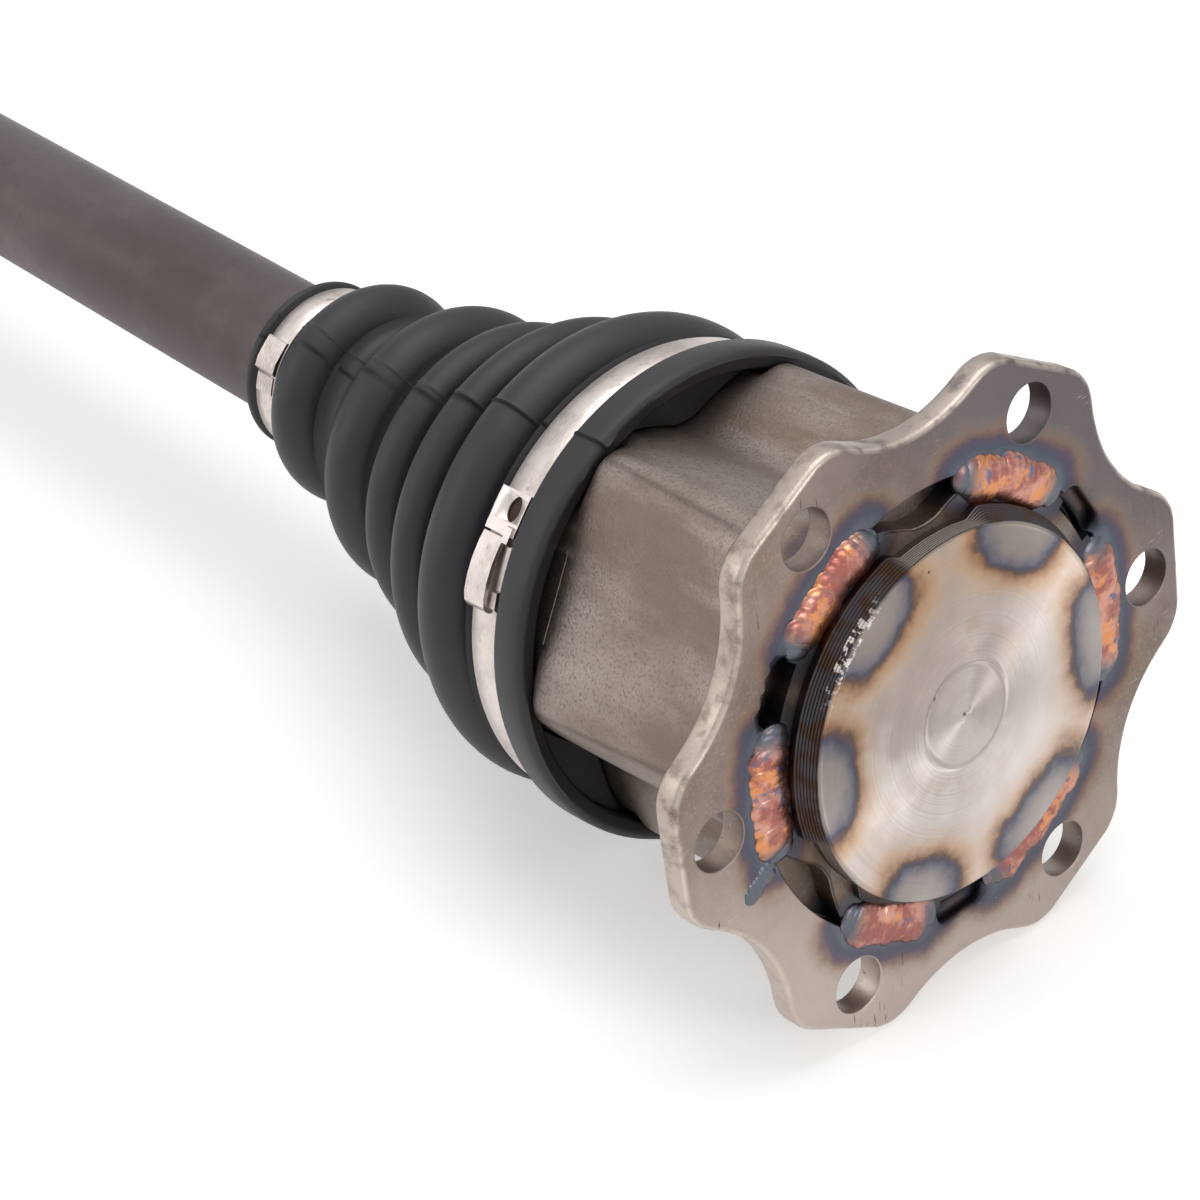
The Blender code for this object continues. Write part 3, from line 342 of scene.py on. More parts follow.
def forged_steel(props):
    """Shot-blasted forging: satin grey-brown, stained in streaks along its length."""
    look = Look("forged joint steel", props.forging_colour, 1.0, 0.46)
    look.over(look.noise(20, 0.4, 0.62, stretch=(0.45, 1.0, 1.0)), "#7d7067", 0.52)
    look.over(look.noise(9, 0.5, 0.72, stretch=(0.35, 1.0, 1.0), seed=2.0), "#776653", 0.55)
    look.over(look.both(look.noise(5, 0.52, 0.7, stretch=(0.15, 1.0, 1.0), seed=8.0), 0.6), "#a29890",
              0.42)
    look.over(look.noise(0.45, 0.45, 0.75, detail=2.0, seed=4.0), "#756a63")
    look.over(look.specks(4.6, 0.05, 6.0), "#3e342d", 0.7, 0.5)
    look.raise_by(look.noise(0.45, 0.25, 0.8, detail=3.0), 0.03)
    return look


def housing_steel(props):
    """The same forging, tinted by the welds, with painted shade in its hollows, creases and slots."""
    look = forged_steel(props)
    look.material.name = "forged housing steel"
    look.heat((0.0, "#5e5c60", 0.9), (0.5, "#474b56", 0.9), (0.75, "#57494a", 0.8),
              (0.9, "#735b49", 0.5),
              (1.15, "#8e827a", 0.0))
    # painted shade in the hollows, the creases and a wedge at the flange
    look.over(look.mark("shade"), "#3b322d", 0.6)
    # painted shade in the slots behind the pockets
    look.over(look.mark("soot"), "#26282d", 0.32, 0.9)
    return look


def boss_steel(props):
    """Turned steel: silvery face with concentric tool marks, temper colours, dark ridged side."""
    look = Look("turned boss steel", props.boss_colour, 1.0, 0.5)
    local = look.local()
    flat = look.node("ShaderNodeVectorMath", {"operation": "MULTIPLY"},
                     {0: local, 1: (0, 1, 1)}).outputs[0]
    radius = look.node("ShaderNodeVectorMath", {"operation": "LENGTH"}, {0: flat}).outputs["Value"]
    rings = look.node("ShaderNodeTexNoise", {"noise_dimensions": "1D"},
                      {"W": radius, "Scale": 1.0 / (0.35 * MM), "Detail": 2.0}).outputs["Fac"]
    # a slow beat in the tool marks, which shows as broader pale and dark rings
    beat = look.node("ShaderNodeTexNoise", {"noise_dimensions": "1D"},
                     {"W": radius, "Scale": 1.0 / (3.5 * MM), "Detail": 1.0}).outputs["Fac"]
    look.over(look.noise(15, 0.42, 0.6), "#bdb2ae", 0.52)
    look.over(look.both(look.noise(7, 0.5, 0.7, seed=3.0), 0.7), "#c0ac9b", 0.46)
    look.over(look.both(look.node("ShaderNodeMapRange", {}, {0: rings, 1: 0.5, 2: 0.62}).outputs[0],
                        0.22), "#9a918e")
    look.over(look.both(look.node("ShaderNodeMapRange", {}, {0: beat, 1: 0.5, 2: 0.6}).outputs[0],
                        0.15), "#ddd5d1")
    look.over(look.both(look.mark("disc"), 0.6), "#aaa19e", 0.5)
    # painted reflection: darker at the top, paler towards the bottom and the right, as the sheen falls
    look.over(look.both(look.slope((0, -0.2, 0.98), 2, 24), 0.8), "#9a877b", 0.48)
    look.over(look.both(look.slope((0, 0.75, -0.66), 0, 22), 0.75), "#ece5e3", 0.46)
    # the tool marks run round the axis, so the sheen fans out from the centre
    axis = (math.cos(math.radians(TILT)), 0, math.sin(math.radians(TILT)))
    along = look.node("ShaderNodeVectorMath", {"operation": "CROSS_PRODUCT"},
                      {0: axis, 1: look.place}).outputs[0]
    look.tree.links.new(along, look.shader.inputs["Tangent"])
    look.shader.inputs["Anisotropic"].default_value = 0.9
    look.heat((0.0, "#98908b", 0.6), (0.5, "#8b8582", 0.75), (0.7, "#6d6c76", 0.85),
              (0.82, "#43485c", 0.9),
              (0.9, "#63493d", 0.88), (0.98, "#96693f", 0.72), (1.12, "#bd946a", 0.55),
              (1.3, "#cfb08d", 0.35),
              (1.7, "#cdc4c0", 0.0))
    look.over(look.both(look.specks(6.0, 0.06, 4.0), look.noise(12, 0.5, 0.6, seed=9.0)), "#7a5d45",
              0.6)
    look.over(look.mark("side"), "#494549", 0.4)
    look.over(look.both(look.mark("side"), look.noise(4, 0.45, 0.6, seed=7.0)), "#4e3d33", 0.55)
    look.over(look.mark("hollow"), "#7d736e", 0.5)
    look.over(look.both(look.mark("wear"), look.noise(0.9, 0.5, 0.56, 3.0, (0.6, 1.0, 1.0), seed=6.0)),
              "#d9d2cf", 0.3)
    look.raise_by(rings, 0.006)
    return look


def weld_steel(props):
    """Weld bead: rippled, copper and red with grey-blue ends, with painted highlights on the crests and
    painted shade between the ripples.
    """
    look = Look("tempered weld metal", props.weld_colour, 1.0, 0.3)
    look.over(look.noise(5, 0.42, 0.54), "#9a5f58", 0.32)
    look.over(look.noise(3.6, 0.5, 0.6, seed=2.0), "#cf8c5f", 0.28)
    look.over(look.noise(3.2, 0.56, 0.66, seed=9.0), "#6a697e", 0.28)
    # painted highlight along each ripple's crest and painted shade where the next one starts
    crest = stops(look.node("ShaderNodeValToRGB", {}, {0: look.mark("ripple")}),
                  (0.3, 0.0), (0.72, 0.15), (0.86, 0.8), (0.93, 0.25), (1.0, 0.0))
    look.over(look.both(crest.outputs[0], look.noise(2.5, 0.3, 0.6, seed=5.0)), "#e0c3b6", 0.22)
    # painted shade where the next ripple starts
    gap_shade = look.node("ShaderNodeMapRange", {}, {0: look.mark("ripple"), 1: 0.93, 2: 1.0}).outputs[0]
    look.over(look.both(gap_shade, 0.8), "#3a2a2a", 0.4)
    look.over(look.both(look.mark("tip"), look.noise(3, 0.2, 0.5, seed=6.0)), "#5f646d", 0.34)
    look.raise_by(look.noise(0.7, 0.2, 0.8), 0.03)
    return look


def bar_steel(props):
    """Bar steel with a dark grey-brown oxide skin."""
    look = Look("oxidised bar steel", props.bar_colour, 0.8, 0.42)
    look.over(look.noise(30, 0.38, 0.62, stretch=(0.3, 1.0, 1.0)), "#564c4c", 0.48)
    look.over(look.both(look.noise(16, 0.48, 0.7, seed=2.0), 0.4), "#6d6563", 0.38)
    look.over(look.noise(1.6, 0.5, 0.8, seed=4.0), "#5a504e")
    look.raise_by(look.noise(0.5, 0.2, 0.8), 0.012)
    return look


def bright_steel(props):
    """Ground bearing steel with a trace of grease."""
    look = Look("ground bearing steel", props.bearing_colour, 1.0, 0.2)
    look.over(look.noise(6, 0.45, 0.65), "#a09c97", 0.32)
    look.over(look.noise(2.5, 0.6, 0.8, seed=3.0), "#7d6d58", 0.4)
    look.raise_by(look.noise(0.4, 0.2, 0.8, stretch=(0.1, 1.0, 1.0)), 0.004)
    return look


def clamp_steel(props):
    """Stainless strip: satin, rolled lengthwise, lightly scratched."""
    look = Look("stainless clamp strip", props.clamp_colour, 1.0, 0.36)
    look.over(look.noise(8, 0.4, 0.65), "#b5aaa5", 0.42)
    look.over(look.noise(0.5, 0.45, 0.7, stretch=(3.0, 0.4, 0.4), seed=2.0), "#ddd4cf", 0.3)
    look.over(look.noise(2.4, 0.6, 0.75, seed=6.0), "#948883", 0.4)
    look.over(look.specks(2.9, 0.07, 3.0), "#7d716c", 0.5)
    # painted shade: the dark disc in the plate's hole
    look.over(look.mark("hole"), "#3a2722", 0.7, 0.2)
    look.raise_by(look.noise(0.35, 0.3, 0.7, stretch=(2.0, 0.5, 0.5)), 0.006)
    return look


def boot_rubber(props):
    """Moulded black rubber, matte with a soft sheen and a little dust."""
    look = Look("moulded boot rubber", props.rubber_colour, 0.0, 0.46)
    look.over(look.noise(20, 0.4, 0.65), "#201e23", 0.52)
    look.over(look.noise(3, 0.55, 0.8, seed=2.0), "#262528", 0.56)
    look.over(look.specks(14.0, 0.02, 4.0), "#a29d96", 0.8)
    # painted shade along the mould's parting lines
    look.over(look.mark("shade"), "#050506", 1.0)
    look.raise_by(look.noise(0.6, 0.2, 0.8), 0.02)
    return look


# Finish: its maker and its slot
FINISHES = {
    "flange": (flange_steel, "flange_steel"),
    "forged": (forged_steel, "forged_steel"),
    "housing": (housing_steel, "forged_steel"),
    "boss": (boss_steel, "forged_steel"),
    "weld": (weld_steel, "weld_metal"),
    "bar": (bar_steel, "bar_steel"),
    "bright": (bright_steel, "bearing_steel"),
    "clamp": (clamp_steel, "clamp_steel"),
    "rubber": (boot_rubber, "boot_rubber"),
}
MADE = {}


def finish_of(key):
    """The finish's material, made at its first use."""
    if key not in MADE:
        MADE[key] = FINISHES[key][0](bpy.context.scene.axle_settings).material
    return MADE[key]


# Meshes

def polar(radius, angle):
    """(y, z) at a radius and an angle from up towards +Y."""
    t = np.radians(angle)
    return radius * np.sin(t), radius * np.cos(t)


def off_from(angles, middle, pitch=360.0):
    """How far angles are from a middle that repeats with a pitch, in degrees."""
    return np.abs((angles - middle + pitch / 2) % pitch - pitch / 2)


def arc(x, r, radius, first, last, step=8.0):
    """Points (x, r) of an arc: 0 degrees is along +x, 90 is outwards."""
    count = max(2, int(abs(last - first) / step) + 1)
    angles = np.radians(np.linspace(first, last, count))
    return [(x + radius * math.cos(t), r + radius * math.sin(t)) for t in angles]


def dense(profile, step, marks=()):
    """A profile with points at least every step; marks add a close pair of rows round a station."""
    points = [profile[0]]
    for (x0, r0), (x1, r1) in zip(profile, profile[1:]):
        count = max(1, math.ceil(math.hypot(x1 - x0, r1 - r0) / step))
        shares = {i / count for i in range(1, count + 1)}
        for mark in marks:
            if min(x0, x1) < mark < max(x0, x1):
                share = (mark - x0) / (x1 - x0)
                close = 0.06 / abs(x1 - x0)
                shares |= {max(0.001, share - close), share, min(0.999, share + close)}
        points += [(x0 + (x1 - x0) * s, r0 + (r1 - r0) * s) for s in sorted(shares)]
    return points


def row_at(x, radius, angles):
    """One row of points round X; the station and the radius may change with the angle."""
    y, z = polar(radius, angles)
    return np.stack([np.broadcast_to(x, angles.shape), y, z], 1)


def ring_rows(profile, count, swell=None):
    """Rows of points round X; swell(x, angles) is added to the radius."""
    angles = 360.0 * np.arange(count) / count
    rows = []
    for x, r in profile:
        radius = np.full(count, float(r))
        if swell is not None:
            radius = radius + swell(x, angles)
        rows.append(row_at(float(x), radius, angles))
    return np.array(rows)


def solid(name, rows, home, key, closed=False, sharp=38.0):
    """A skin over rows of points; closed joins the last row to the first, else the ends are capped."""
    count, sides = rows.shape[:2]
    points = [Vector(p) for p in rows.reshape(-1, 3)]
    faces = []
    for i in range(count if closed else count - 1):
        j = (i + 1) % count
        for k in range(sides):
            n = (k + 1) % sides
            faces.append((i * sides + k, i * sides + n, j * sides + n, j * sides + k))
    if not closed:
        for row in (0, count - 1):
            points.append(Vector(rows[row].mean(0)))
            centre = len(points) - 1
            faces += [(row * sides + k, row * sides + (k + 1) % sides, centre) for k in range(sides)]
    return piece(name, points, faces, home, key, sharp)


def new_object(name, data):
    """An object in the scene."""
    obj = bpy.data.objects.new(name, data)
    bpy.context.scene.collection.objects.link(obj)
    return obj


def frozen(obj):
    """The object's mesh with its modifiers worked in."""
    graph = bpy.context.evaluated_depsgraph_get()
    return bpy.data.meshes.new_from_object(obj.evaluated_get(graph), preserve_all_data_layers=True,
                                           depsgraph=graph)


def piece(name, points, faces, home, key, sharp=38.0):
    """A mesh object with its place in its vertices, normals outwards and its finish's material."""
    mesh = bpy.data.meshes.new(name)
    mesh.from_pydata([home @ (Vector(p) * MM) for p in points], [], faces)
    bm = bmesh.new()
    bm.from_mesh(mesh)
    bmesh.ops.remove_doubles(bm, verts=bm.verts, dist=1e-7)
    bmesh.ops.recalc_face_normals(bm, faces=bm.faces)
    bm.to_mesh(mesh)
    bm.free()
    mesh.shade_smooth()
    mesh.set_sharp_from_angle(angle=math.radians(sharp))
    mesh.materials.append(finish_of(key))
    obj = new_object(name, mesh)
    return obj


def places(obj, home):
    """Station along the home's X, radius and angle of every vertex."""
    back = home.inverted()
    local = np.array([back @ v.co for v in obj.data.vertices]) / MM
    x, y, z = local.T
    return x, np.hypot(y, z), np.degrees(np.arctan2(y, z)) % 360


def mark(obj, name, values):
    """Stores one value a vertex for the material."""
    attribute = obj.data.attributes.new(name, "FLOAT", "POINT")
    attribute.data.foreach_set("value", np.asarray(values, dtype=np.float32))


def bead_distance(radius, angle):
    """Distance in mm to the nearest weld bead's middle line."""
    best = np.full(np.shape(radius), 1e3)
    for first, last in BEADS:
        middle, half = (first + last) / 2, (last - first) / 2 - 3.0
        beyond = np.radians(np.maximum(off_from(angle, middle) - half, 0.0)) * BEAD_R
        best = np.minimum(best, np.hypot(radius - BEAD_R, beyond))
    return best


def wobble(angles, seed, parts=((3, 1.0), (7, 0.5), (17, 0.3), (41, 0.2))):
    """A repeatable uneven value round an axis, about -1 to 1."""
    phase = np.random.default_rng(seed).uniform(0, 360, len(parts))
    waves = [size * np.sin(np.radians(angles * turns + p)) for (turns, size), p in zip(parts, phase)]
    return sum(waves) / 1.5


# Flange

def flange_outline(step=4.0):
    """Six bolt lobes with rounded corners and round hollows between them, as (y, z)."""
    hollow = SCALLOP_FLOOR + SCALLOP
    corner = FLANGE_TIP - LOBE_CORNER
    reach = SCALLOP + LOBE_CORNER
    swing = 30.0 - math.degrees(math.acos((hollow ** 2 + corner ** 2 - reach ** 2)
                                          / (2 * hollow * corner)))
    points = []
    for middle in BOLTS:
        for sign in (-1, 1):
            cy, cz = polar(corner, middle + sign * swing)
            hy, hz = polar(hollow, middle + sign * 30.0)
            outer = middle + sign * swing
            inner = math.degrees(math.atan2(hy - cy, hz - cz))
            turn = (inner - outer + 180) % 360 - 180
            side = []
            for t in np.linspace(0, 1, max(2, int(abs(turn) / (3 * step)) + 1)):
                y, z = polar(LOBE_CORNER, outer + turn * t)
                side.append((cy + y, cz + z))
            start = math.degrees(math.atan2(cy - hy, cz - hz))
            turn = (middle + sign * 30.0 + 180 - start + 180) % 360 - 180
            for t in np.linspace(0, 1, max(2, int(abs(turn) / step) + 1))[1:]:
                y, z = polar(SCALLOP, start + turn * t)
                side.append((hy + y, hz + z))
            points += list(reversed(side))[1:] if sign < 0 else side
    return even(points, 1.1)


def even(loop, step):
    """A closed loop with points at an even distance."""
    loop = np.array(loop)
    ahead = np.roll(loop, -1, 0)
    length = np.hypot(*(ahead - loop).T)
    keep = length > 1e-6
    loop, ahead, length = loop[keep], ahead[keep], length[keep]
    total = np.concatenate([[0], np.cumsum(length)])
    count = int(total[-1] / step)
    where = np.linspace(0, total[-1], count, endpoint=False)
    closed = np.vstack([loop, loop[:1]])
    return np.stack([np.interp(where, total, closed[:, k]) for k in (0, 1)], 1)


def opening_outline():
    """The round hole for the spigot; make_flange cuts a pocket opposite each roller track."""
    angles = np.arange(0, 360, 1.5)
    radius = np.full(angles.shape, OPENING)
    return np.stack(polar(radius, angles), 1)


def inset(loop, amount):
    """The loop moved inwards, to its left, by an amount."""
    ahead = np.roll(loop, -1, 0) - np.roll(loop, 1, 0)
    normal = np.stack([-ahead[:, 1], ahead[:, 0]], 1)
    normal /= np.linalg.norm(normal, axis=1, keepdims=True)
    if ((loop * normal).sum(1)).mean() > 0:
        normal = -normal
    return loop + normal * amount


def plate(outline, holes, front, back, edge, grid):
    """Points and faces of a plate along X with rounded rims; a hole is a loop and its edge's size."""
    points, faces = [], []

    def ring(loop, x):
        points.extend((x, y, z) for y, z in loop)
        return list(range(len(points) - len(loop), len(points)))

    def wall(a, b):
        count = len(a)
        faces.extend((a[k], a[(k + 1) % count], b[(k + 1) % count], b[k]) for k in range(count))

    rims = {"front": [], "back": []}
    for loop, size, sign in [(outline, edge, 1)] + [(h, s, -1) for h, s in holes]:
        rows = []
        turns = np.radians(np.linspace(0, 90, 5))
        for t in turns:
            rows.append(ring(inset(loop, sign * size * (1 - math.sin(t))),
                             front - size * (1 - math.cos(t))))
        rims["front"].append((rows[0], inset(loop, sign * size)))
        for t in reversed(turns):
            rows.append(ring(inset(loop, sign * size * (1 - math.sin(t))),
                             back + size * (1 - math.cos(t))))
        rims["back"].append((rows[-1], inset(loop, sign * size)))
        for a, b in zip(rows, rows[1:]):
            wall(a, b)
    for side, x in (("front", front), ("back", back)):
        verts, edges, index = [], [], []
        for rows, loop in rims[side]:
            start = len(verts)
            verts.extend(Vector(p) for p in loop)
            index.extend(rows)
            edges.extend((start + k, start + (k + 1) % len(loop)) for k in range(len(loop)))
        limit = np.abs(outline).max()
        loops = [loop for _, loop in rims[side]]
        for iy, y in enumerate(np.arange(-limit, limit, grid)):
            for z in np.arange(-limit, limit, grid * 1.15) + (iy % 2) * grid * 0.57:
                if near(loops, y, z) > grid * 0.6 and inside(loops[0], y, z) \
                        and not any(inside(loop, y, z) for loop in loops[1:]):
                    verts.append(Vector((y, z)))
                    points.append((x, y, z))
                    index.append(len(points) - 1)
        out, _, tris, origin, _, _ = geometry.delaunay_2d_cdt(verts, edges, [], 0, 1e-6)
        for tri in tris:
            middle = sum((out[i] for i in tri), Vector((0, 0))) / 3
            if inside(loops[0], *middle) and not any(inside(loop, *middle) for loop in loops[1:]):
                faces.append(tuple(index[origin[i][0]] for i in tri))
    return points, faces


def near(loops, y, z):
    """Distance to the nearest point of the loops."""
    return min(np.hypot(loop[:, 0] - y, loop[:, 1] - z).min() for loop in loops)


def inside(loop, y, z):
    """Whether a point lies inside a closed loop."""
    y0, z0 = loop[:, 0], loop[:, 1]
    y1, z1 = np.roll(y0, -1), np.roll(z0, -1)
    spans = (z0 > z) != (z1 > z)
    cross = (y1 - y0) * (z - z0) / np.where(z1 == z0, 1e-12, z1 - z0) + y0
    return bool((spans & (y < cross)).sum() % 2)


def cut(obj, tool):
    """Takes a tool's shape out of an object and drops the tool."""
    modifier = obj.modifiers.new("cut", "BOOLEAN")
    modifier.object = tool
    modifier.solver = "EXACT"
    mesh = frozen(obj)
    obj.modifiers.remove(modifier)
    obj.data = mesh
    bpy.data.objects.remove(tool, do_unlink=True)
    return obj


def pocket(length, width, depth, radius, angle, home):
    """A throwaway cutter with round ends, lying along the rim at an angle round the axis."""
    half = length / 2 - width / 2
    outline = []
    for side in (1, -1):
        for t in np.linspace(-90, 90, 13):
            turn = math.radians(t)
            outline.append((side * (half + width / 2 * math.cos(turn)),
                            side * width / 2 * math.sin(turn)))
    rows = [[(x, p, radius + q) for p, q in outline] for x in (-BOSS_PROUD - depth, -BOSS_PROUD + 1.0)]
    turn = Matrix.Rotation(-math.radians(angle), 4, "X")
    points = np.array([[tuple(turn @ Vector(p)) for p in row] for row in rows])
    return solid("cutter", points, home, "flange")


def from_notch(radius, angle):
    """Distance in mm to the nearest dark pocket's middle line."""
    off = np.radians((angle - LOBES[0] + 60) % 120 - 60) * radius
    beyond = np.maximum(np.abs(off) - NOTCH[0] / 2 + 2.0, 0)
    return np.hypot(beyond, radius - OPENING - 0.6)


def make_flange(props):
    """Scalloped plate with six bolt holes, painted shade in its pockets and a worn rim."""
    holes = [(opening_outline(), 0.3)]
    for angle in BOLTS:
        y, z = polar(BOLT_CIRCLE, angle)
        turns = np.radians(np.arange(0, 360, 9.0))
        holes.append((np.stack([y + BOLT_HOLE * np.cos(turns), z + BOLT_HOLE * np.sin(turns)], 1),
                      0.25))
    points, faces = plate(flange_outline(), holes, -BOSS_PROUD, -BOSS_PROUD - FLANGE_THICK, 0.9,
                          props.face_grid)
    flange = piece("flange", points, faces, HOUSING, "flange")
    length, reach = NOTCH
    for angle in LOBES:
        cut(flange, pocket(length - 1.5, 2 * reach - 0.8, 2.2, OPENING - 0.2, angle, HOUSING))
    x, r, a = places(flange, HOUSING)
    y, z = polar(r, a)
    holes = [np.hypot(y - p, z - q) for p, q in (polar(BOLT_CIRCLE, angle) for angle in BOLTS)]
    walls = np.min(holes, 0) < BOLT_HOLE + 0.2
    mark(flange, "tempered",
         np.where(walls, 2.0, np.clip(bead_distance(r, a) / props.heat_reach, 0, 2)))
    # painted shade round each pocket
    mark(flange, "soot", np.clip(1.2 - from_notch(r, a) / 2.6, 0, 1)
         * (0.75 + 0.25 * (x < -BOSS_PROUD - 0.2)))
    outline = flange_outline()
    rim = np.array([np.hypot(outline[:, 0] - p, outline[:, 1] - q).min() for p, q in zip(y, z)])
    edge = np.clip(1.1 - np.abs(rim - 0.3) / 0.4, 0, 1) * (x > -BOSS_PROUD - 0.9)
    edge = np.maximum(edge, 0.6 * (rim < 0.1))
    mark(flange, "wear", edge)
    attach(flange, "flanged_housing")
    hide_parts("adapter_flange")


# Housing

def lobe_half(extra=0.0):
    """Half of one lobe's outline as points in its own frame, x outwards."""
    face = LOBE_FACE + extra
    points = [(face, FACE_HALF * part) for part in (0.0, 0.25, 0.5, 0.75)]
    cx, cy = (CORNER_AT * f(math.radians(30.0)) for f in (math.cos, math.sin))
    radius = SHOULDER + extra
    valley = VALLEY + VALLEY_CURVE
    vx, vy = valley * math.cos(math.pi / 3), valley * math.sin(math.pi / 3)
    lean = math.atan2(vy - cy, vx - cx)
    cross = math.acos((radius + VALLEY_CURVE - extra) / math.hypot(vx - cx, vy - cy))
    out = math.hypot(face - cx, FACE_HALF - cy)
    first = math.atan2(FACE_HALF - cy, face - cx) + math.acos(radius / out)
    last = lean - cross
    points.append((face, FACE_HALF))
    for t in np.linspace(first, last, 12):
        points.append((cx + radius * math.cos(t), cy + radius * math.sin(t)))
    hollow = VALLEY_CURVE - extra
    for t in np.linspace(last + math.pi, math.pi / 3 + math.pi, 9):
        points.append((vx + hollow * math.cos(t), vy + hollow * math.sin(t)))
    return points


def track_half():
    """Half of one roller track's outline in its own frame, x outwards."""
    cap = math.acos((TRACK_CAP - PITCH) / TRACK_HALF)
    points = [(TRACK_CAP, 0.0), (TRACK_CAP, TRACK_HALF * math.sin(cap) * 0.5)]
    for t in np.linspace(cap, math.pi / 2, 9):
        points.append((PITCH + TRACK_HALF * math.cos(t), TRACK_HALF * math.sin(t)))
    points.append((math.sqrt(BORE ** 2 - TRACK_HALF ** 2), TRACK_HALF))
    points.append((BORE * math.cos(math.pi / 3), BORE * math.sin(math.pi / 3)))
    return points


def lobed(half, angles):
    """Radius of a three-lobed outline at each angle."""
    table = np.array([(math.degrees(math.atan2(y, x)), math.hypot(x, y)) for x, y in half])
    off = off_from(angles, LOBES[0], 120)
    order = np.argsort(table[:, 0])
    return np.interp(off, table[order, 0], table[order, 1])


def make_housing(props):
    """The three-lobed forging with its roller tracks, and the boss in front."""
    angles = np.arange(0, 360, 0.75)
    outside = lobed(lobe_half(), angles)
    spigot = np.minimum(outside, SPIGOT)
    cavity = lobed(track_half(), angles)
    width, depth, slot_in = SLOT
    off = off_from(angles, LOBES[0], 120)
    slotted = np.where(off < math.degrees(width / 2 / 32.0), depth, 0.0)
    shoulder = FLANGE_THICK + 0.3
    rows = [(0.0, np.full(angles.shape, BOSS_FOOT - 1.5)), (0.0, np.minimum(spigot, slot_in - 0.02)),
            (slotted, np.minimum(spigot, slot_in + 0.02)), (slotted, spigot - EDGE),
            (slotted + EDGE, spigot),
            (SEAT_RING, spigot), (SEAT_RING + 0.05, np.maximum(spigot, OPENING - 0.05)),
            (shoulder, np.maximum(spigot, OPENING - 0.05)),
            (shoulder, np.minimum(outside, SPIGOT + 0.4)),
            (shoulder + 0.05, outside - 0.5), (shoulder + 0.55, outside)]
    seat_at = FRONT + SPIDER_DEPTH - 0.3
    for s in np.linspace(shoulder + 1.4, seat_at, 26):
        # forging skin: faint waves along the lobes
        rows.append((s, outside + SKIN_WAVE * wobble(angles + s * 0.7, 4)))
    seat = np.minimum(outside, SEAT)
    rows += [(seat_at + 0.05, seat), (HOUSING_END - 0.5, seat), (HOUSING_END, seat - 0.5)]
    mouth = np.maximum(cavity, BORE + BORE_RIM)
    rows += [(HOUSING_END, np.minimum(mouth, seat - 1.0)), (HOUSING_END - 8.0, cavity),
             (CAVITY_FLOOR, cavity),
             (CAVITY_FLOOR, cavity * 0.4)]
    grid = [row_at(-(s + BOSS_PROUD), radius, angles) for s, radius in rows]
    housing = solid("housing", np.array(grid), HOUSING, "housing", sharp=32)
    x, r, a = places(housing, HOUSING)
    s = -x - BOSS_PROUD
    mark(housing, "tempered", np.clip(np.hypot(bead_distance(r, a), np.maximum(s - 2.0, 0) * 0.9)
                                      / props.heat_reach, 0, 2))
    # painted shade: a dark patch in the hollows near the flange, slot floors and the cast crease beside
    # each lobe
    off = off_from(a, LOBES[0], 120)
    patch = np.clip((24 - s) / 12, 0, 1) * np.clip((s - 3) / 4, 0, 1) * np.clip((off - 40) / 9, 0, 1)
    crease = np.clip(1 - np.abs(off - (27 + 0.1 * s)) / 1.2, 0, 1) * np.clip((s - 8) / 6, 0, 1) * 0.45
    # a wedge of painted shade low on the left lobe, at the flange
    wedge = np.clip((17 - s) / 8, 0, 1) * np.clip(1 - off_from(a, 283) / (0.5 + s * 0.5), 0, 1)
    mark(housing, "shade", np.clip(0.5 * patch + crease + 0.6 * wedge, 0, 1))
    # painted shade in the slots behind the pockets
    soot = (s < FLANGE_THICK) * np.clip(1.2 - from_notch(r, a) / 4.0, 0, 1)
    mark(housing, "soot", np.clip(soot, 0, 1))
    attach(housing, "flanged_housing")
    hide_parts("tripod_housing")
    make_boss(props)


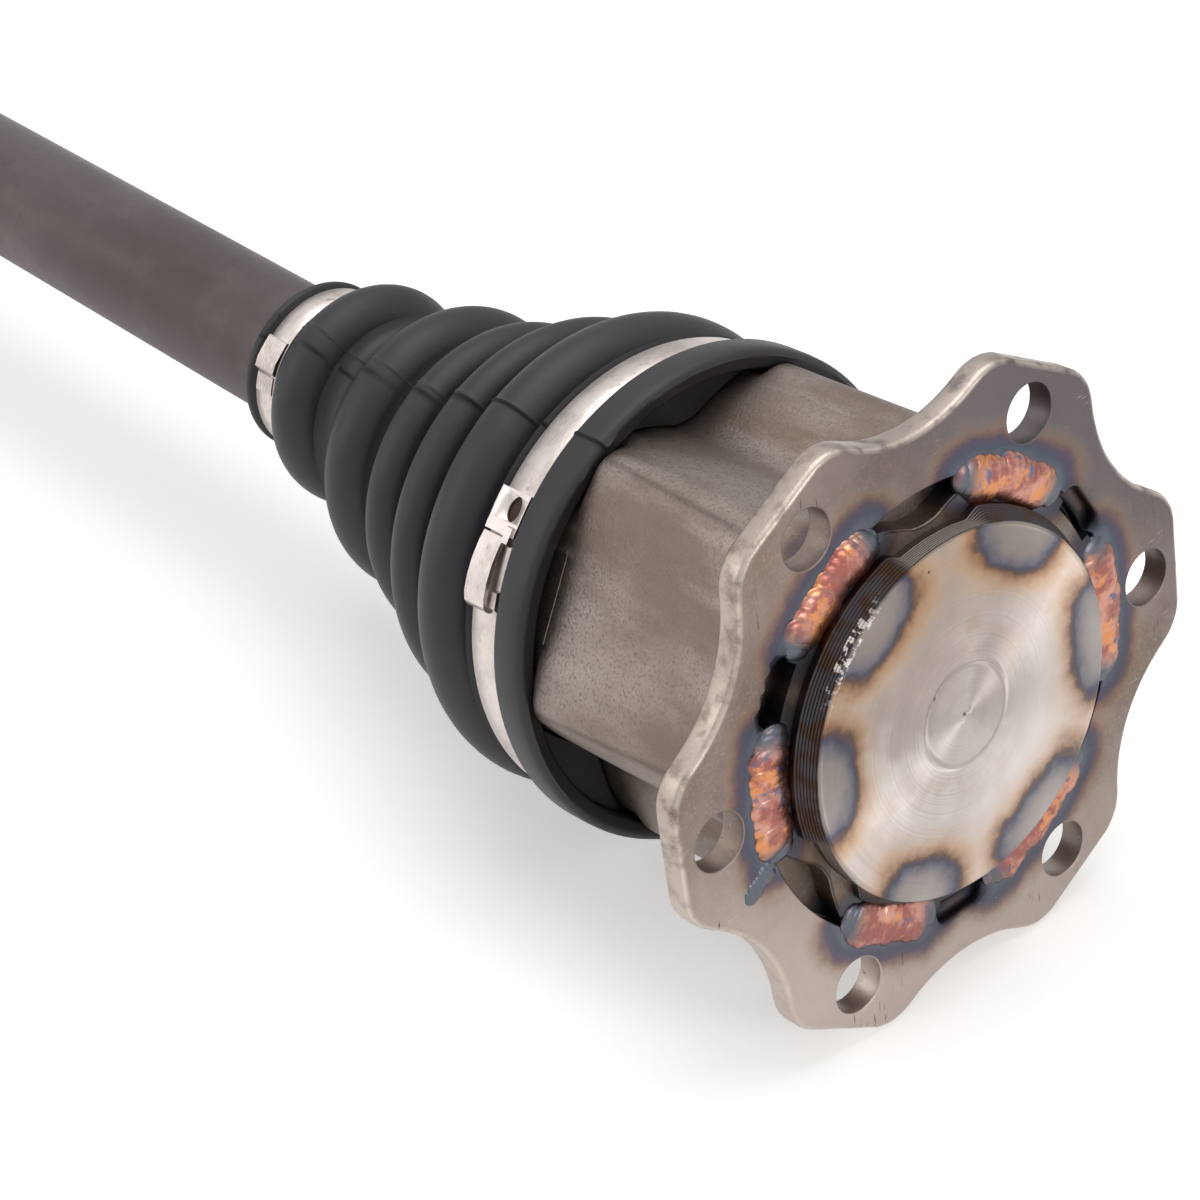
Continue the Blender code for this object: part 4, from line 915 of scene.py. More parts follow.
def make_boss(props):
    """The turned boss, drawn apart from the housing that it is one piece with."""
    count, pitch, high = RIDGES
    side = []
    for i in range(count):
        start = -BOSS_SIDE + pitch * i
        side += [(start, 0.0), (start + pitch * 0.35, high), (start + pitch * 0.7, high)]
    side = [(x, BOSS_FOOT - (BOSS_FOOT - BOSS) * (x + BOSS_SIDE) / 3.4 + lift) for x, lift in side]
    profile = [(-BOSS_PROUD - 0.4, BOSS_FOOT - 1.0), (-BOSS_PROUD - 0.4, BOSS_FOOT),
               (-3.8, BOSS_FOOT)] + side
    profile += [(-0.25, BOSS + 0.02), (-0.08, BOSS - 0.08), (0.0, BOSS - 0.3)]
    profile += [(0.0, r) for r in np.arange(BOSS - 0.8, 8.6, -0.6)]
    profile += [(0.0, 8.35), (-0.14, 8.15), (-0.14, 7.95), (-0.02, 7.75)]
    profile += [(-0.02, r) for r in np.arange(7.2, 1.0, -0.8)]
    profile += [(-0.02, 0.9), (-0.3, 0.4), (-0.35, 0.05)]

    def shaped(x, angles):
        """Ragged rim on the upper left; smooth hollows where the valleys between the lobes run out."""
        near_rim = 1.0 if -0.3 < x < -0.02 else 0.0
        side_of = np.clip(1 - off_from(angles, 318) / 26, 0, 1)
        chips = -0.2 * near_rim * side_of * (0.5 + 0.5 * wobble(angles, 11, ((23, 1.0), (57, 0.8))))
        drop = BOSS + 0.1 - (BOSS_FOOT + 0.1) if x < -0.4 else 0.0
        return chips + drop * hollows(angles) * min(1.0, (-x - 0.4) / 3.0)

    boss = solid("boss", ring_rows(profile, 330, shaped), HOUSING, "boss", sharp=50)
    x, r, a = places(boss, HOUSING)
    # an oval of temper colours opposite each bead, widest at the rim
    oval = np.full(r.shape, 2.0)
    for first, last in BEADS:
        off = off_from(a, (first + last) / 2)
        across = off * r / BOSS / ((last - first) / 2 + props.oval_overhang)
        oval = np.minimum(oval, np.hypot((BOSS - np.minimum(r, BOSS)) / (props.oval_depth * 1000),
                                         across))
    mark(boss, "tempered", oval)
    mark(boss, "side", (x < -0.35) * 1.0)
    mark(boss, "hollow", (x < -0.35) * hollows(a))
    mark(boss, "disc", (r < 8.2) * (x > -1) * (0.5 + 0.5 * (r > 7.7)))
    ragged = np.clip(1.4 - off_from(a, 316) / 13, 0, 1)
    mark(boss, "wear", (x > -1.3) * (r > BOSS - 0.35) * ragged)
    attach(boss, "flanged_housing")


def hollows(angles):
    """1 where a valley between two lobes runs out at the boss, fading at its ends."""
    off = off_from(angles, 0, 120)
    return np.clip((17.0 - off) / 4.0, 0, 1)


# Weld beads

def bead_tree():
    """Geometry nodes: lays leaning puddles along a level path, like shingles."""
    tree = bpy.data.node_groups.new("weld bead", "GeometryNodeTree")
    tree.is_modifier = True
    for side in ("INPUT", "OUTPUT"):
        tree.interface.new_socket("Geometry", in_out=side, socket_type="NodeSocketGeometry")
    for name, kind, value in (("Ripple pitch", "NodeSocketFloat", 1.2),
                              ("Puddle size", "NodeSocketVector", None),
                              ("Lean", "NodeSocketFloat", 12.0), ("Unevenness", "NodeSocketFloat", 0.1),
                              ("Seed", "NodeSocketInt", 7), ("Material", "NodeSocketMaterial", None)):
        socket = tree.interface.new_socket(name, in_out="INPUT", socket_type=kind)
        if value is not None:
            socket.default_value = value
    given = add(tree, "NodeGroupInput").outputs
    path = add(tree, "GeometryNodeMeshToCurve", {}, {"Mesh": given["Geometry"]}).outputs[0]
    along = add(tree, "GeometryNodeSplineParameter").outputs["Factor"]
    path = add(tree, "GeometryNodeStoreNamedAttribute", {"data_type": "FLOAT", "domain": "POINT"},
               {"Geometry": path, "Name": "along", "Value": along}).outputs[0]
    points = add(tree, "GeometryNodeCurveToPoints", {"mode": "LENGTH"},
                 {"Curve": path, "Length": given["Ripple pitch"]}).outputs
    # the bead narrows at both ends
    along = add(tree, "GeometryNodeInputNamedAttribute", {"data_type": "FLOAT"},
                {"Name": "along"}).outputs[0]
    off = add(tree, "ShaderNodeMath", {"operation": "SUBTRACT"}, {0: along, 1: 0.5}).outputs[0]
    off = add(tree, "ShaderNodeMath", {"operation": "ABSOLUTE"}, {0: off}).outputs[0]
    taper = add(tree, "ShaderNodeMapRange", {"interpolation_type": "SMOOTHSTEP"},
                {0: off, 1: 0.38, 2: 0.5, 3: 1.0, 4: 0.7}).outputs[0]
    low = add(tree, "ShaderNodeMath", {"operation": "SUBTRACT"},
              {0: 1.0, 1: given["Unevenness"]}).outputs[0]
    high = add(tree, "ShaderNodeMath", {"operation": "ADD"},
               {0: 1.0, 1: given["Unevenness"]}).outputs[0]
    uneven = add(tree, "FunctionNodeRandomValue", {"data_type": "FLOAT"},
                 {2: low, 3: high, "Seed": given["Seed"]})
    skew = add(tree, "FunctionNodeRandomValue", {"data_type": "FLOAT"},
               {2: -0.22, 3: 0.22, "Seed": given["Seed"]})
    puddle = add(tree, "GeometryNodeMeshUVSphere", {},
                 {"Segments": 36, "Rings": 18, "Radius": 1.0}).outputs[0]
    ahead = add(tree, "ShaderNodeSeparateXYZ", {},
                {0: add(tree, "GeometryNodeInputPosition").outputs[0]}).outputs[0]
    puddle = add(tree, "GeometryNodeStoreNamedAttribute", {"data_type": "FLOAT", "domain": "POINT"},
                 {"Geometry": puddle, "Name": "ripple", "Value": ahead}).outputs[0]
    shaped = add(tree, "GeometryNodeTransform", {},
                 {"Geometry": puddle, "Scale": given["Puddle size"]}).outputs[0]
    radians = add(tree, "ShaderNodeMath", {"operation": "RADIANS"}, {0: given["Lean"]}).outputs[0]
    lean = add(tree, "ShaderNodeCombineXYZ", {}, {1: radians}).outputs[0]
    leaning = add(tree, "GeometryNodeTransform", {}, {"Geometry": shaped, "Rotation": lean}).outputs[0]
    turn = add(tree, "FunctionNodeAlignRotationToVector", {"axis": "X"},
               {"Vector": points["Tangent"]}).outputs[0]
    askew = add(tree, "ShaderNodeCombineXYZ", {}, {2: skew.outputs[1]}).outputs[0]
    turn = add(tree, "FunctionNodeRotateRotation", {"rotation_space": "LOCAL"},
               {"Rotation": turn, "Rotate By": askew}).outputs[0]
    size = add(tree, "ShaderNodeMath", {"operation": "MULTIPLY"},
               {0: uneven.outputs[1], 1: taper}).outputs[0]
    spread = add(tree, "GeometryNodeInstanceOnPoints", {},
                 {"Points": points[0], "Instance": leaning, "Rotation": turn, "Scale": size}).outputs[0]
    real = add(tree, "GeometryNodeRealizeInstances", {}, {"Geometry": spread}).outputs[0]
    smooth = add(tree, "GeometryNodeSetShadeSmooth", {}, {"Geometry": real}).outputs[0]
    done = add(tree, "GeometryNodeSetMaterial", {},
               {"Geometry": smooth, "Material": given["Material"]}).outputs[0]
    add(tree, "NodeGroupOutput", {}, {"Geometry": done})
    return tree


def set_input(modifier, name, value):
    """Sets a geometry nodes input by its socket's name."""
    for item in modifier.node_group.interface.items_tree:
        if item.item_type == "SOCKET" and item.in_out == "INPUT" and item.name == name:
            modifier[item.identifier] = value


def make_welds(props):
    """Six weld beads round the spigot, and the drip of the second."""
    tree = bead_tree()
    # the tree works on a level path, whose up is the housing's axis
    stand = HOUSING @ Matrix(((0, 0, 1, -BOSS_PROUD * MM), (1, 0, 0, 0), (0, 1, 0, 0), (0, 0, 0, 1)))
    for number, (first, last) in enumerate(BEADS, 1):
        angles = np.linspace(first + 1.5, last - 1.5, 40)
        y, z = polar(BEAD_R + 0.25 * np.sin(np.radians(angles * 23 + number * 50)), angles)
        paths = [[(p, q) for p, q in zip(y, z)]]
        if number == 2:
            # a run of weld metal below the second bead's lower end
            paths.append([tuple(float(v) for v in polar(r, a)) for r, a in BEAD_DRIP])
        for part, points in enumerate(paths):
            mesh = bpy.data.meshes.new("path")
            mesh.from_pydata([(p * MM, q * MM, -0.0003) for p, q in points],
                             [(i, i + 1) for i in range(len(points) - 1)], [])
            path = new_object("path", mesh)
            modifier = path.modifiers.new("bead", "NODES")
            modifier.node_group = tree
            share = 0.5 if part else 1.0
            size = Vector((props.puddle_length, props.bead_width / 2, props.bead_height)) * share
            for name, value in (("Ripple pitch", props.ripple_pitch * share), ("Puddle size", size),
                                ("Lean", BEAD_LEAN),
                                ("Unevenness", BEAD_UNEVEN), ("Seed", 7 + number),
                                ("Material", finish_of("weld"))):
                set_input(modifier, name, value)
            made = frozen(path)
            bpy.data.objects.remove(path, do_unlink=True)
            made.transform(stand)
            bead = new_object(f"bead_{number}_{part}", made)
            angle = places(bead, HOUSING)[2]
            off = off_from(angle, (first + last) / 2)
            mark(bead, "tip", np.clip((off - (last - first) / 2 + 7) / 5, 0, 1))
            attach(bead, "flanged_housing")
            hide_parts(f"weld_bead_{number}")


# Boots

BAR_GAP = 0.35            # between a boot's cuff and the bar
FOLD_GAP = 0.5            # least room between a fold and the bar
SOCKET_FIT = 0.4          # between the housing and the boot's socket
RIDGE = 0.28              # height of the moulded ridge at a parting line


def bellows(crests, valleys, step=9.0):
    """Rounded crests and valleys from the first crest to the last valley."""
    points = []
    for (x, r, rounding), (vx, vr, vround) in zip(crests, valleys):
        points += arc(x, r - rounding, rounding, 158, 22, step)
        points += arc(vx, vr + vround, vround, 210, 330, 2 * step)
    return points


def bend(row_x, y, z):
    """A point round the inner boot's centre line, in the housing's frame."""
    share = min(max((row_x - (HOUSING_END - SPIDER_DEPTH))
                    / (CRESTS[-1][0] - (HOUSING_END - SPIDER_DEPTH)), 0.0), 1.0)
    spider = Vector((-(SPIDER_DEPTH + BOSS_PROUD), 0, 0))
    straight = spider + Vector((-row_x, y, z))
    level = Matrix.Rotation(math.radians(TILT), 3, "Y") @ Vector((-row_x, y, z))
    return straight.lerp(spider + level, share)


def parting(angles):
    """A low ridge at the mould's parting lines."""
    rise = np.zeros(angles.shape)
    for line in (PARTING, (PARTING + 180) % 360):
        off = (angles - line + 180) % 360 - 180
        rise += RIDGE * np.exp(-(off / 0.5) ** 2)
    return rise


def parting_line(angles, radius):
    """The thin dark line of painted shade at the mould's parting."""
    off = np.radians(off_from(angles, PARTING, 180)) * radius
    return np.clip(1.7 - off / 0.28, 0, 1)


def boot_angles(count):
    """Angles round a boot, closer together at its parting lines."""
    steps = (-1.4, -0.9, -0.5, -0.25, 0, 0.25, 0.5, 0.9, 1.4)
    fine = [line + d for line in (PARTING, PARTING - 180) for d in steps]
    plain = [360.0 * i / count for i in range(count)]
    plain = [a for a in plain if min(abs((a - PARTING + 90) % 180 - 90), 9) > 1.6]
    return np.array(sorted(a % 360 for a in plain + fine))


def make_inner_boot(props):
    """The bellows over the tripod joint, in five sections from housing to bar."""
    angles = boot_angles(props.boot_sides)
    ridge = parting(angles)
    flash = 0.18 + 0.12 * np.clip(wobble(angles, 3), 0, 1)
    torn = np.clip(wobble(angles, 8, ((31, 1.0), (67, 1.0))), 0, 1)
    torn = np.exp(-((angles - 330) / 4.0) ** 2) * torn
    # thick front: lip, flash line, socket round the lobes, groove
    nose = [(FRONT + 3.2, lobed(lobe_half(SOCKET_FIT), angles)),
            (FRONT + 2.6, np.minimum(lobed(lobe_half(SOCKET_FIT), angles), 35.4) + 0.15),
            (FRONT + 2.4, 35.75 + 0 * angles), (FRONT + 0.4, 36.1 + 0 * angles),
            (FRONT + 0.05, 36.6 + 0 * angles),
            (FRONT, 37.8 + 0 * angles), (FRONT - flash - 1.2 * torn, 38.15 + 0.3 * torn),
            (FRONT, 38.5 + 0 * angles), (FRONT + 0.3, LIP - 0.35 + ridge),
            (FRONT + 1.0, LIP - 0.08 + ridge),
            (FRONT + 2.4, LIP + ridge), (GROOVE[0] - 1.3, LIP + ridge),
            (GROOVE[0] - 0.8, LIP - 0.25 + ridge),
            (GROOVE[0] - 0.1, GROOVE_R + 0.4 + ridge), (GROOVE[0] + 0.1, GROOVE_R + ridge),
            (GROOVE[1] - 0.1, GROOVE_R + ridge), (GROOVE[1] + 0.1, GROOVE_R + 0.3 + ridge),
            (GROOVE[1] + 0.8, GROOVE_R + 1.2 + ridge)]
    split = props.boot_splits
    profile = [(GROOVE[1] + 0.8, GROOVE_R + 1.2)] + bellows(CRESTS, VALLEYS)
    profile += [(CUFF[0] - 0.3, CUFF_R + 0.1), (CUFF[0] + 0.1, CUFF_R), (CUFF[1], CUFF_R),
                (CUFF[1] + 0.3, CUFF_R + 0.2),
                (CUFF[1] + 0.7, CUFF_LIP - 0.3), (CUFF[1] + 1.0, CUFF_LIP), (CUFF[2] - 0.5, CUFF_LIP),
                (CUFF[2] - 0.15, CUFF_LIP - 0.2), (CUFF[2], CUFF_LIP - 0.7)]
    profile = dense(profile, 1.1, split)
    bodies = ("flanged_housing", "lower_roller", "lower_ring", "axle")
    edges = [GROOVE[1] + 0.8, *split, CUFF[2]]
    seat = np.minimum(lobed(lobe_half(SOCKET_FIT), angles), SEAT + SOCKET_FIT)

    def lining(x, r):
        """Inside radius under an outer row."""
        if x < HOUSING_END - SPIDER_DEPTH + 0.6:
            return seat
        if x > VALLEYS[-1][0] - 1.0:
            return np.full(angles.shape, BAR + BAR_GAP)
        return np.full(angles.shape, max(r - WALL, BAR + FOLD_GAP))

    placed = [(x, np.broadcast_to(radius, angles.shape)) for x, radius in nose]
    for number in range(5):
        if number == 0:
            last = split[0]
            outer = [(x, r + ridge) for x, r in profile if x <= last + 1e-6]
            inner = [(x, lining(x, r)) for x, r in profile if x <= last + 1e-6]
            first_in = [(FRONT + 3.2, seat), (GROOVE[1] + 0.5, seat)]
            outer = placed + outer[1:]
            inner = first_in[:1] + inner[1:]
        else:
            low, high = split[number - 1], edges[number + 1]
            part = [(x, r) for x, r in profile if low - 1e-6 <= x <= high + 1e-6]
            outer = [(x, r + ridge) for x, r in part]
            inner = [(x, lining(x, r)) for x, r in part]
        obj = boot_rows(f"inner_boot_{number + 1}", outer, inner, angles)
        x, r, a = places(obj, HOUSING)
        mark(obj, "shade", parting_line(a, r) * 0.9)
        if number in (0, 4):
            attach(obj, bodies[0] if number == 0 else bodies[3])
        else:
            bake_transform(obj)
        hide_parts("inner_boot")


def boot_rows(name, outer, inner, angles):
    """One section of the inner boot, bent round its centre line."""
    rows = []
    for x, radius in list(outer) + list(reversed(inner)):
        y, z = polar(np.broadcast_to(radius, angles.shape), angles)
        stations = np.broadcast_to(x, angles.shape)
        rows.append([tuple(bend(s, p, q)) for s, p, q in zip(stations, y, z)])
    return solid(name, np.array(rows), HOUSING, "rubber", closed=True, sharp=62)


def strap(name, start, end, radius, count, home):
    """A clamp's band with softened edges."""
    soft = 0.14
    inner = radius - STRAP
    profile = [(start + soft, radius), (start, radius - soft), (start, inner + soft),
               (start + soft, inner),
               (end - soft, inner), (end, inner + soft), (end, radius - soft), (end - soft, radius)]
    return solid(name, ring_rows(profile, count), home, "clamp", closed=True, sharp=50)


def ribbon(name, path, thick, home, key="clamp"):
    """A strip along a path of (angle, radius, first x, last x), thickened inwards."""
    rows = []
    for angle, radius, start, end in path:
        row = []
        for x, r in ((start, radius), (end, radius), (end, radius - thick), (start, radius - thick)):
            y, z = polar(r, angle)
            row.append((x, float(y), float(z)))
        rows.append(row)
    return solid(name, np.array(rows), home, key, sharp=30)


def ball(name, centre, size, angle, home):
    """A stretched ball whose third size is along the angle's own radius."""
    turn = Matrix.Rotation(-math.radians(angle), 4, "X")
    turn = Matrix.Translation(centre) @ turn @ Matrix.Diagonal((*size, 1))
    rows = []
    for t in np.linspace(4, 176, 14):
        ring = np.radians(np.arange(0, 360, 15))
        flat = math.sin(math.radians(t))
        rows.append([tuple(turn @ Vector((flat * math.cos(u), flat * math.sin(u),
                                          math.cos(math.radians(t)))))
                     for u in ring])
    return solid(name, np.array(rows), home, "clamp")


def make_wide_clamp(name, home, start, end, radius, middle, body, node):
    """Band with a folded closing tongue: a holed plate with a dark disc of painted shade in its hole, a
    raised strap and a hook under it.
    """
    band = strap(f"{name}_band", start, end, radius, 200, home)
    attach(band, body)
    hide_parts(node)
    plate_path = [(middle + d, radius + 0.85 + 0.12 * (d < 6), start - 0.25, end + 0.2)
                  for d in np.linspace(14, 4, 8)]
    tongue_path = [(middle + d, radius + high, start - 0.1, end - 1.6) for d, high in EAR_TONGUE]
    hook_path = [(middle + d, radius + high, end - 1.35, end - 0.15) for d, high in EAR_HOOK]
    roll_path = [(middle + d, radius + high, end - 1.5, end - 0.2) for d, high in EAR_ROLL]
    plate_piece = ribbon(f"{name}_plate", plate_path, 0.75, home)
    spot = ((start + end) / 2 + 1.1, *(float(v) for v in polar(radius + 0.28, middle + 10.0)))
    cut(plate_piece, ball("cutter", spot, (1.3, 2.0, 3.0), middle + 10.0, home))
    # a dark disc of painted shade in the plate's hole
    floor = ball(f"{name}_hole", spot, (1.25, 1.95, 0.2), middle + 10.0, home)
    mark(floor, "hole", np.ones(len(floor.data.vertices)))
    parts = [plate_piece, floor, ribbon(f"{name}_tongue", tongue_path, 0.7, home),
             ribbon(f"{name}_hook", hook_path, 0.7, home), ribbon(f"{name}_roll", roll_path, 0.6, home)]
    for part in parts:
        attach(part, body)


def make_narrow_clamp(name, home, start, end, radius, middle, body, node):
    """Narrow band with a small crimped ear."""
    band = strap(f"{name}_band", start, end, radius, 120, home)
    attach(band, body)
    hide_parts(node)
    lap = [(middle + d, radius + high, start - 0.1, end - 0.2) for d, high in NARROW_LAP]
    tail = [(middle + d, radius + 0.3, start + 0.5, end - 0.4) for d in (-12, -16, -20, -24)]
    for part in (ribbon(f"{name}_ear", lap, 0.6, home), ribbon(f"{name}_tail", tail, 0.4, home)):
        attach(part, body)


def make_clamps():
    """The four boot clamps."""
    wide = (-(WIDE_BAND[1] + SPIDER_DEPTH + BOSS_PROUD), -(WIDE_BAND[0] + SPIDER_DEPTH + BOSS_PROUD))
    make_wide_clamp("inner_wide_clamp", HOUSING, *wide, WIDE_BAND_R, WIDE_EAR, "flanged_housing",
                    "inner_boot_wide_clamp")
    make_narrow_clamp("inner_narrow_clamp", AXLE, -NARROW_BAND[1], -NARROW_BAND[0], NARROW_BAND_R,
                      NARROW_EAR, "axle",
                      "inner_boot_narrow_clamp")
    make_wide_clamp("outer_wide_clamp", OUTER, *OUTER_BAND, BELL - 0.3, 0.0, "outer_bell",
                    "outer_boot_wide_clamp")
    make_narrow_clamp("outer_narrow_clamp", OUTER, OUTER_CUFF[0] + 0.6, OUTER_CUFF[1] - 2.8,
                      NARROW_BAND_R, 0.0,
                      "axle", "outer_boot_narrow_clamp")


# Shaft and outer joint

def teeth(depth, count):
    """Rounded spline teeth: how far the surface is below the crests at each angle."""
    def drop(angles):
        """Height against the crest."""
        wave = np.abs(((angles * count / 360.0) % 1.0) - 0.5) * 2.0
        return -depth * np.clip(1.4 * (1.0 - wave) - 0.2, 0, 1)
    return drop


def make_shaft():
    """The bar with its necks, splines and circlip grooves."""
    radius, depth, count = SPLINE
    drop = teeth(depth, count)
    near = HUB_HALF + 4.4
    far = JOINT_SPAN + RACE_HALF + 4.4
    root = radius - depth
    groove = root - 0.7
    profile = [(near, root - 1.0), (near - 1.0, root), (HUB_HALF + 2.2, root), (HUB_HALF + 2.1, groove),
               (HUB_HALF + 0.3, groove), (HUB_HALF + 0.2, root), (HUB_HALF - 0.2, radius),
               (-HUB_HALF - 1.2, radius),
               (-HUB_HALF - 2.4, NECK), (-NECK_END + 8, NECK), (-NECK_END + 4.5, NECK + 0.35),
               (-NECK_END, BAR),
               (-JOINT_SPAN + NECK_END, BAR), (-JOINT_SPAN + NECK_END - 4.5, NECK + 0.35),
               (-JOINT_SPAN + NECK_END - 8, NECK), (-JOINT_SPAN + RACE_HALF + 2.4, NECK),
               (-JOINT_SPAN + RACE_HALF + 1.2, radius), (-JOINT_SPAN - RACE_HALF + 0.2, radius),
               (-JOINT_SPAN - RACE_HALF - 0.2, root), (-JOINT_SPAN - RACE_HALF - 0.3, groove),
               (-JOINT_SPAN - RACE_HALF - 2.1, groove), (-JOINT_SPAN - RACE_HALF - 2.2, root),
               (-far + 1.0, root),
               (-far, root - 1.0)]

    def swell(x, angles):
        """Spline teeth at both ends of the bar."""
        inner_end = -HUB_HALF - 1.3 < x < HUB_HALF
        outer_end = -JOINT_SPAN - RACE_HALF < x < -JOINT_SPAN + RACE_HALF + 1.3
        return drop(angles) if inner_end or outer_end else 0.0 * angles

    shaft = solid("shaft", ring_rows(dense(profile, 6.0), 176, swell), AXLE, "bar", sharp=28)
    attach(shaft, "axle")
    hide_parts("bar_shaft")


def ball_track(x, angles):
    """Outer radius of the bell's ball tracks at a station, 0 where there is none."""
    off = off_from(angles, 0, 60)
    reach = math.hypot(BALL_PITCH, BALL_OFFSET)
    radii = np.linspace(28, 42, 141)[:, None]
    along = np.hypot(x - BALL_OFFSET, radii * np.cos(np.radians(off)))
    near_path = np.hypot(along - reach, radii * np.sin(np.radians(off))) <= BALL
    return np.where(near_path.any(0), (radii * near_path).max(0), 0.0)


def make_bell():
    """The outer joint's bell with ball tracks, splined stub and thread."""
    s_radius, s_depth, s_count = STUB_SPLINE
    t_radius, t_depth, t_pitch = STUB_THREAD
    drop = teeth(s_depth, s_count)
    back, near, far, end = STUB
    outside = [(BELL_MOUTH, BELL_SEAT - 1.0), (BELL_MOUTH - 1.0, BELL_SEAT), (5.0, BELL_SEAT),
               (5.0, BELL - 0.6),
               (4.4, BELL)] + arc(-8.0, BELL - BELL_SHOULDER, BELL_SHOULDER, 90, 158, 6)
    outside += [(-back + 2.5, 22.6), (-back, 20.3), (-back - 0.6, 20.0), (-near + 4.4, 20.0),
                (-near + 4.0, 19.6),
                (-near + 3.5, s_radius), (-far, s_radius), (-far - 0.3, s_radius - s_depth),
                (-far - 2.0, s_radius - s_depth), (-far - 3.0, t_radius - 0.3)]
    threaded = [(-x, t_radius) for x in np.arange(far + 3.4, end - 1.4, 0.25)]
    outside += threaded + [(-end + 1.3, t_radius - 0.2), (-end, t_radius - 1.5)]
    inside = [(-29.0, 3.0), (-29.0, 17.5)]
    inside += [(x, math.sqrt(CAGE_SEAT ** 2 - x ** 2)) for x in np.linspace(-28.8, 16, 36)]
    inside += [(BELL_MOUTH, BELL_MOUTH_R)]
    angles = 360.0 * np.arange(192) / 192
    rows = []
    for x, r in list(reversed(dense(outside, 4.0))) + [(BELL_MOUTH, BELL_MOUTH_R + 1.5)]:
        radius = np.full(angles.shape, float(r))
        if -far - 0.1 < x < -near + 3.6:
            radius = radius + drop(angles)
        if -end + 1.35 < x < -far - 3.3:
            wave = np.abs(((x / t_pitch + angles / 360.0) % 1.0) - 0.5) * 2.0
            radius = radius - t_depth * wave
        rows.append((x, radius))
    for x, r in reversed(inside):
        track = ball_track(x, angles) if x > -20 else np.zeros(angles.shape)
        rows.append((x, np.minimum(np.maximum(r, track), BELL_SEAT - 1.4)))
    grid = [row_at(x, radius, angles) for x, radius in rows]
    bell = solid("bell", np.array(grid), OUTER, "forged", sharp=34)
    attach(bell, "outer_bell")
    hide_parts("outer_joint_bell")


def make_outer_boot(props):
    """The bellows over the ball joint, in three sections from bell to bar."""
    start = 5.3
    groove = BELL - 0.3 - STRAP - 0.3
    profile = [(start, BELL_SEAT + 0.6), (start, groove + 0.5), (start + 0.3, groove + 0.8),
               (OUTER_BAND[0] - 0.9, groove + 0.8),
               (OUTER_BAND[0] - 0.5, groove + 0.5), (OUTER_BAND[0] - 0.4, groove),
               (OUTER_BAND[1] + 0.4, groove),
               (OUTER_BAND[1] + 0.5, groove + 0.5), (OUTER_BAND[1] + 0.9, groove + 0.8),
               (BELL_MOUTH + 1.5, groove + 0.4),
               (BELL_MOUTH + 3.0, groove - 0.8), (BELL_MOUTH + 4.0, groove - 2.0)]
    profile += bellows(OUTER_CRESTS, OUTER_VALLEYS)
    profile += [(OUTER_CUFF[0], CUFF_R), (OUTER_CUFF[1] - 2.3, CUFF_R),
                (OUTER_CUFF[1] - 1.9, CUFF_R + 0.8),
                (OUTER_CUFF[1] - 1.6, CUFF_R + 1), (OUTER_CUFF[1] - 0.4, CUFF_R + 1),
                (OUTER_CUFF[1], CUFF_R + 0.6)]
    cuts = (BELL_MOUTH + 1.5, OUTER_VALLEYS[-2][0] - 1.5)
    profile = dense(profile, 1.2, cuts)
    angles = boot_angles(props.boot_sides)
    ridge = parting(angles)

    def lining(x, r):
        """Inside radius under an outer row."""
        if x < BELL_MOUTH + 0.3:
            return BELL_SEAT + 0.35
        if x > OUTER_VALLEYS[-1][0] - 0.5:
            return BAR + BAR_GAP
        return max(r - WALL, BAR + FOLD_GAP)

    for number, (low, high) in enumerate(((start, cuts[0]), cuts, (cuts[1], OUTER_CUFF[1]))):
        part = [(x, r) for x, r in profile if low - 1e-6 <= x <= high + 1e-6]
        rows = [row_at(x, r + ridge, angles) for x, r in part]
        rows += [row_at(x, np.full(angles.shape, float(lining(x, r))), angles)
                 for x, r in reversed(part)]
        obj = solid(f"outer_boot_{number + 1}", np.array(rows), OUTER, "rubber", closed=True, sharp=62)
        if number == 1:
            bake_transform(obj)
        else:
            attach(obj, "outer_bell" if number == 0 else "axle")
        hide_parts("outer_boot")


def dress_bearings():
    """The tripod, race, cage and balls keep their CAD shape and get their finish."""
    for name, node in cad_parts.items():
        if node.hide_render:
            continue
        key = "forged" if name == "spider" else "bright"
        node.data.materials.clear()
        node.data.materials.append(finish_of(key))


# Stage

FLOOR_HALF = 6.0          # metres, to each side
CAMERA_AT = (0.27069146, -0.27108458, 0.28403198)
CAMERA_LENS = 100.54      # on a 36 mm sensor
CAMERA_TURN = (51.999, 34.455, -5.268)   # heading, downward pitch, roll


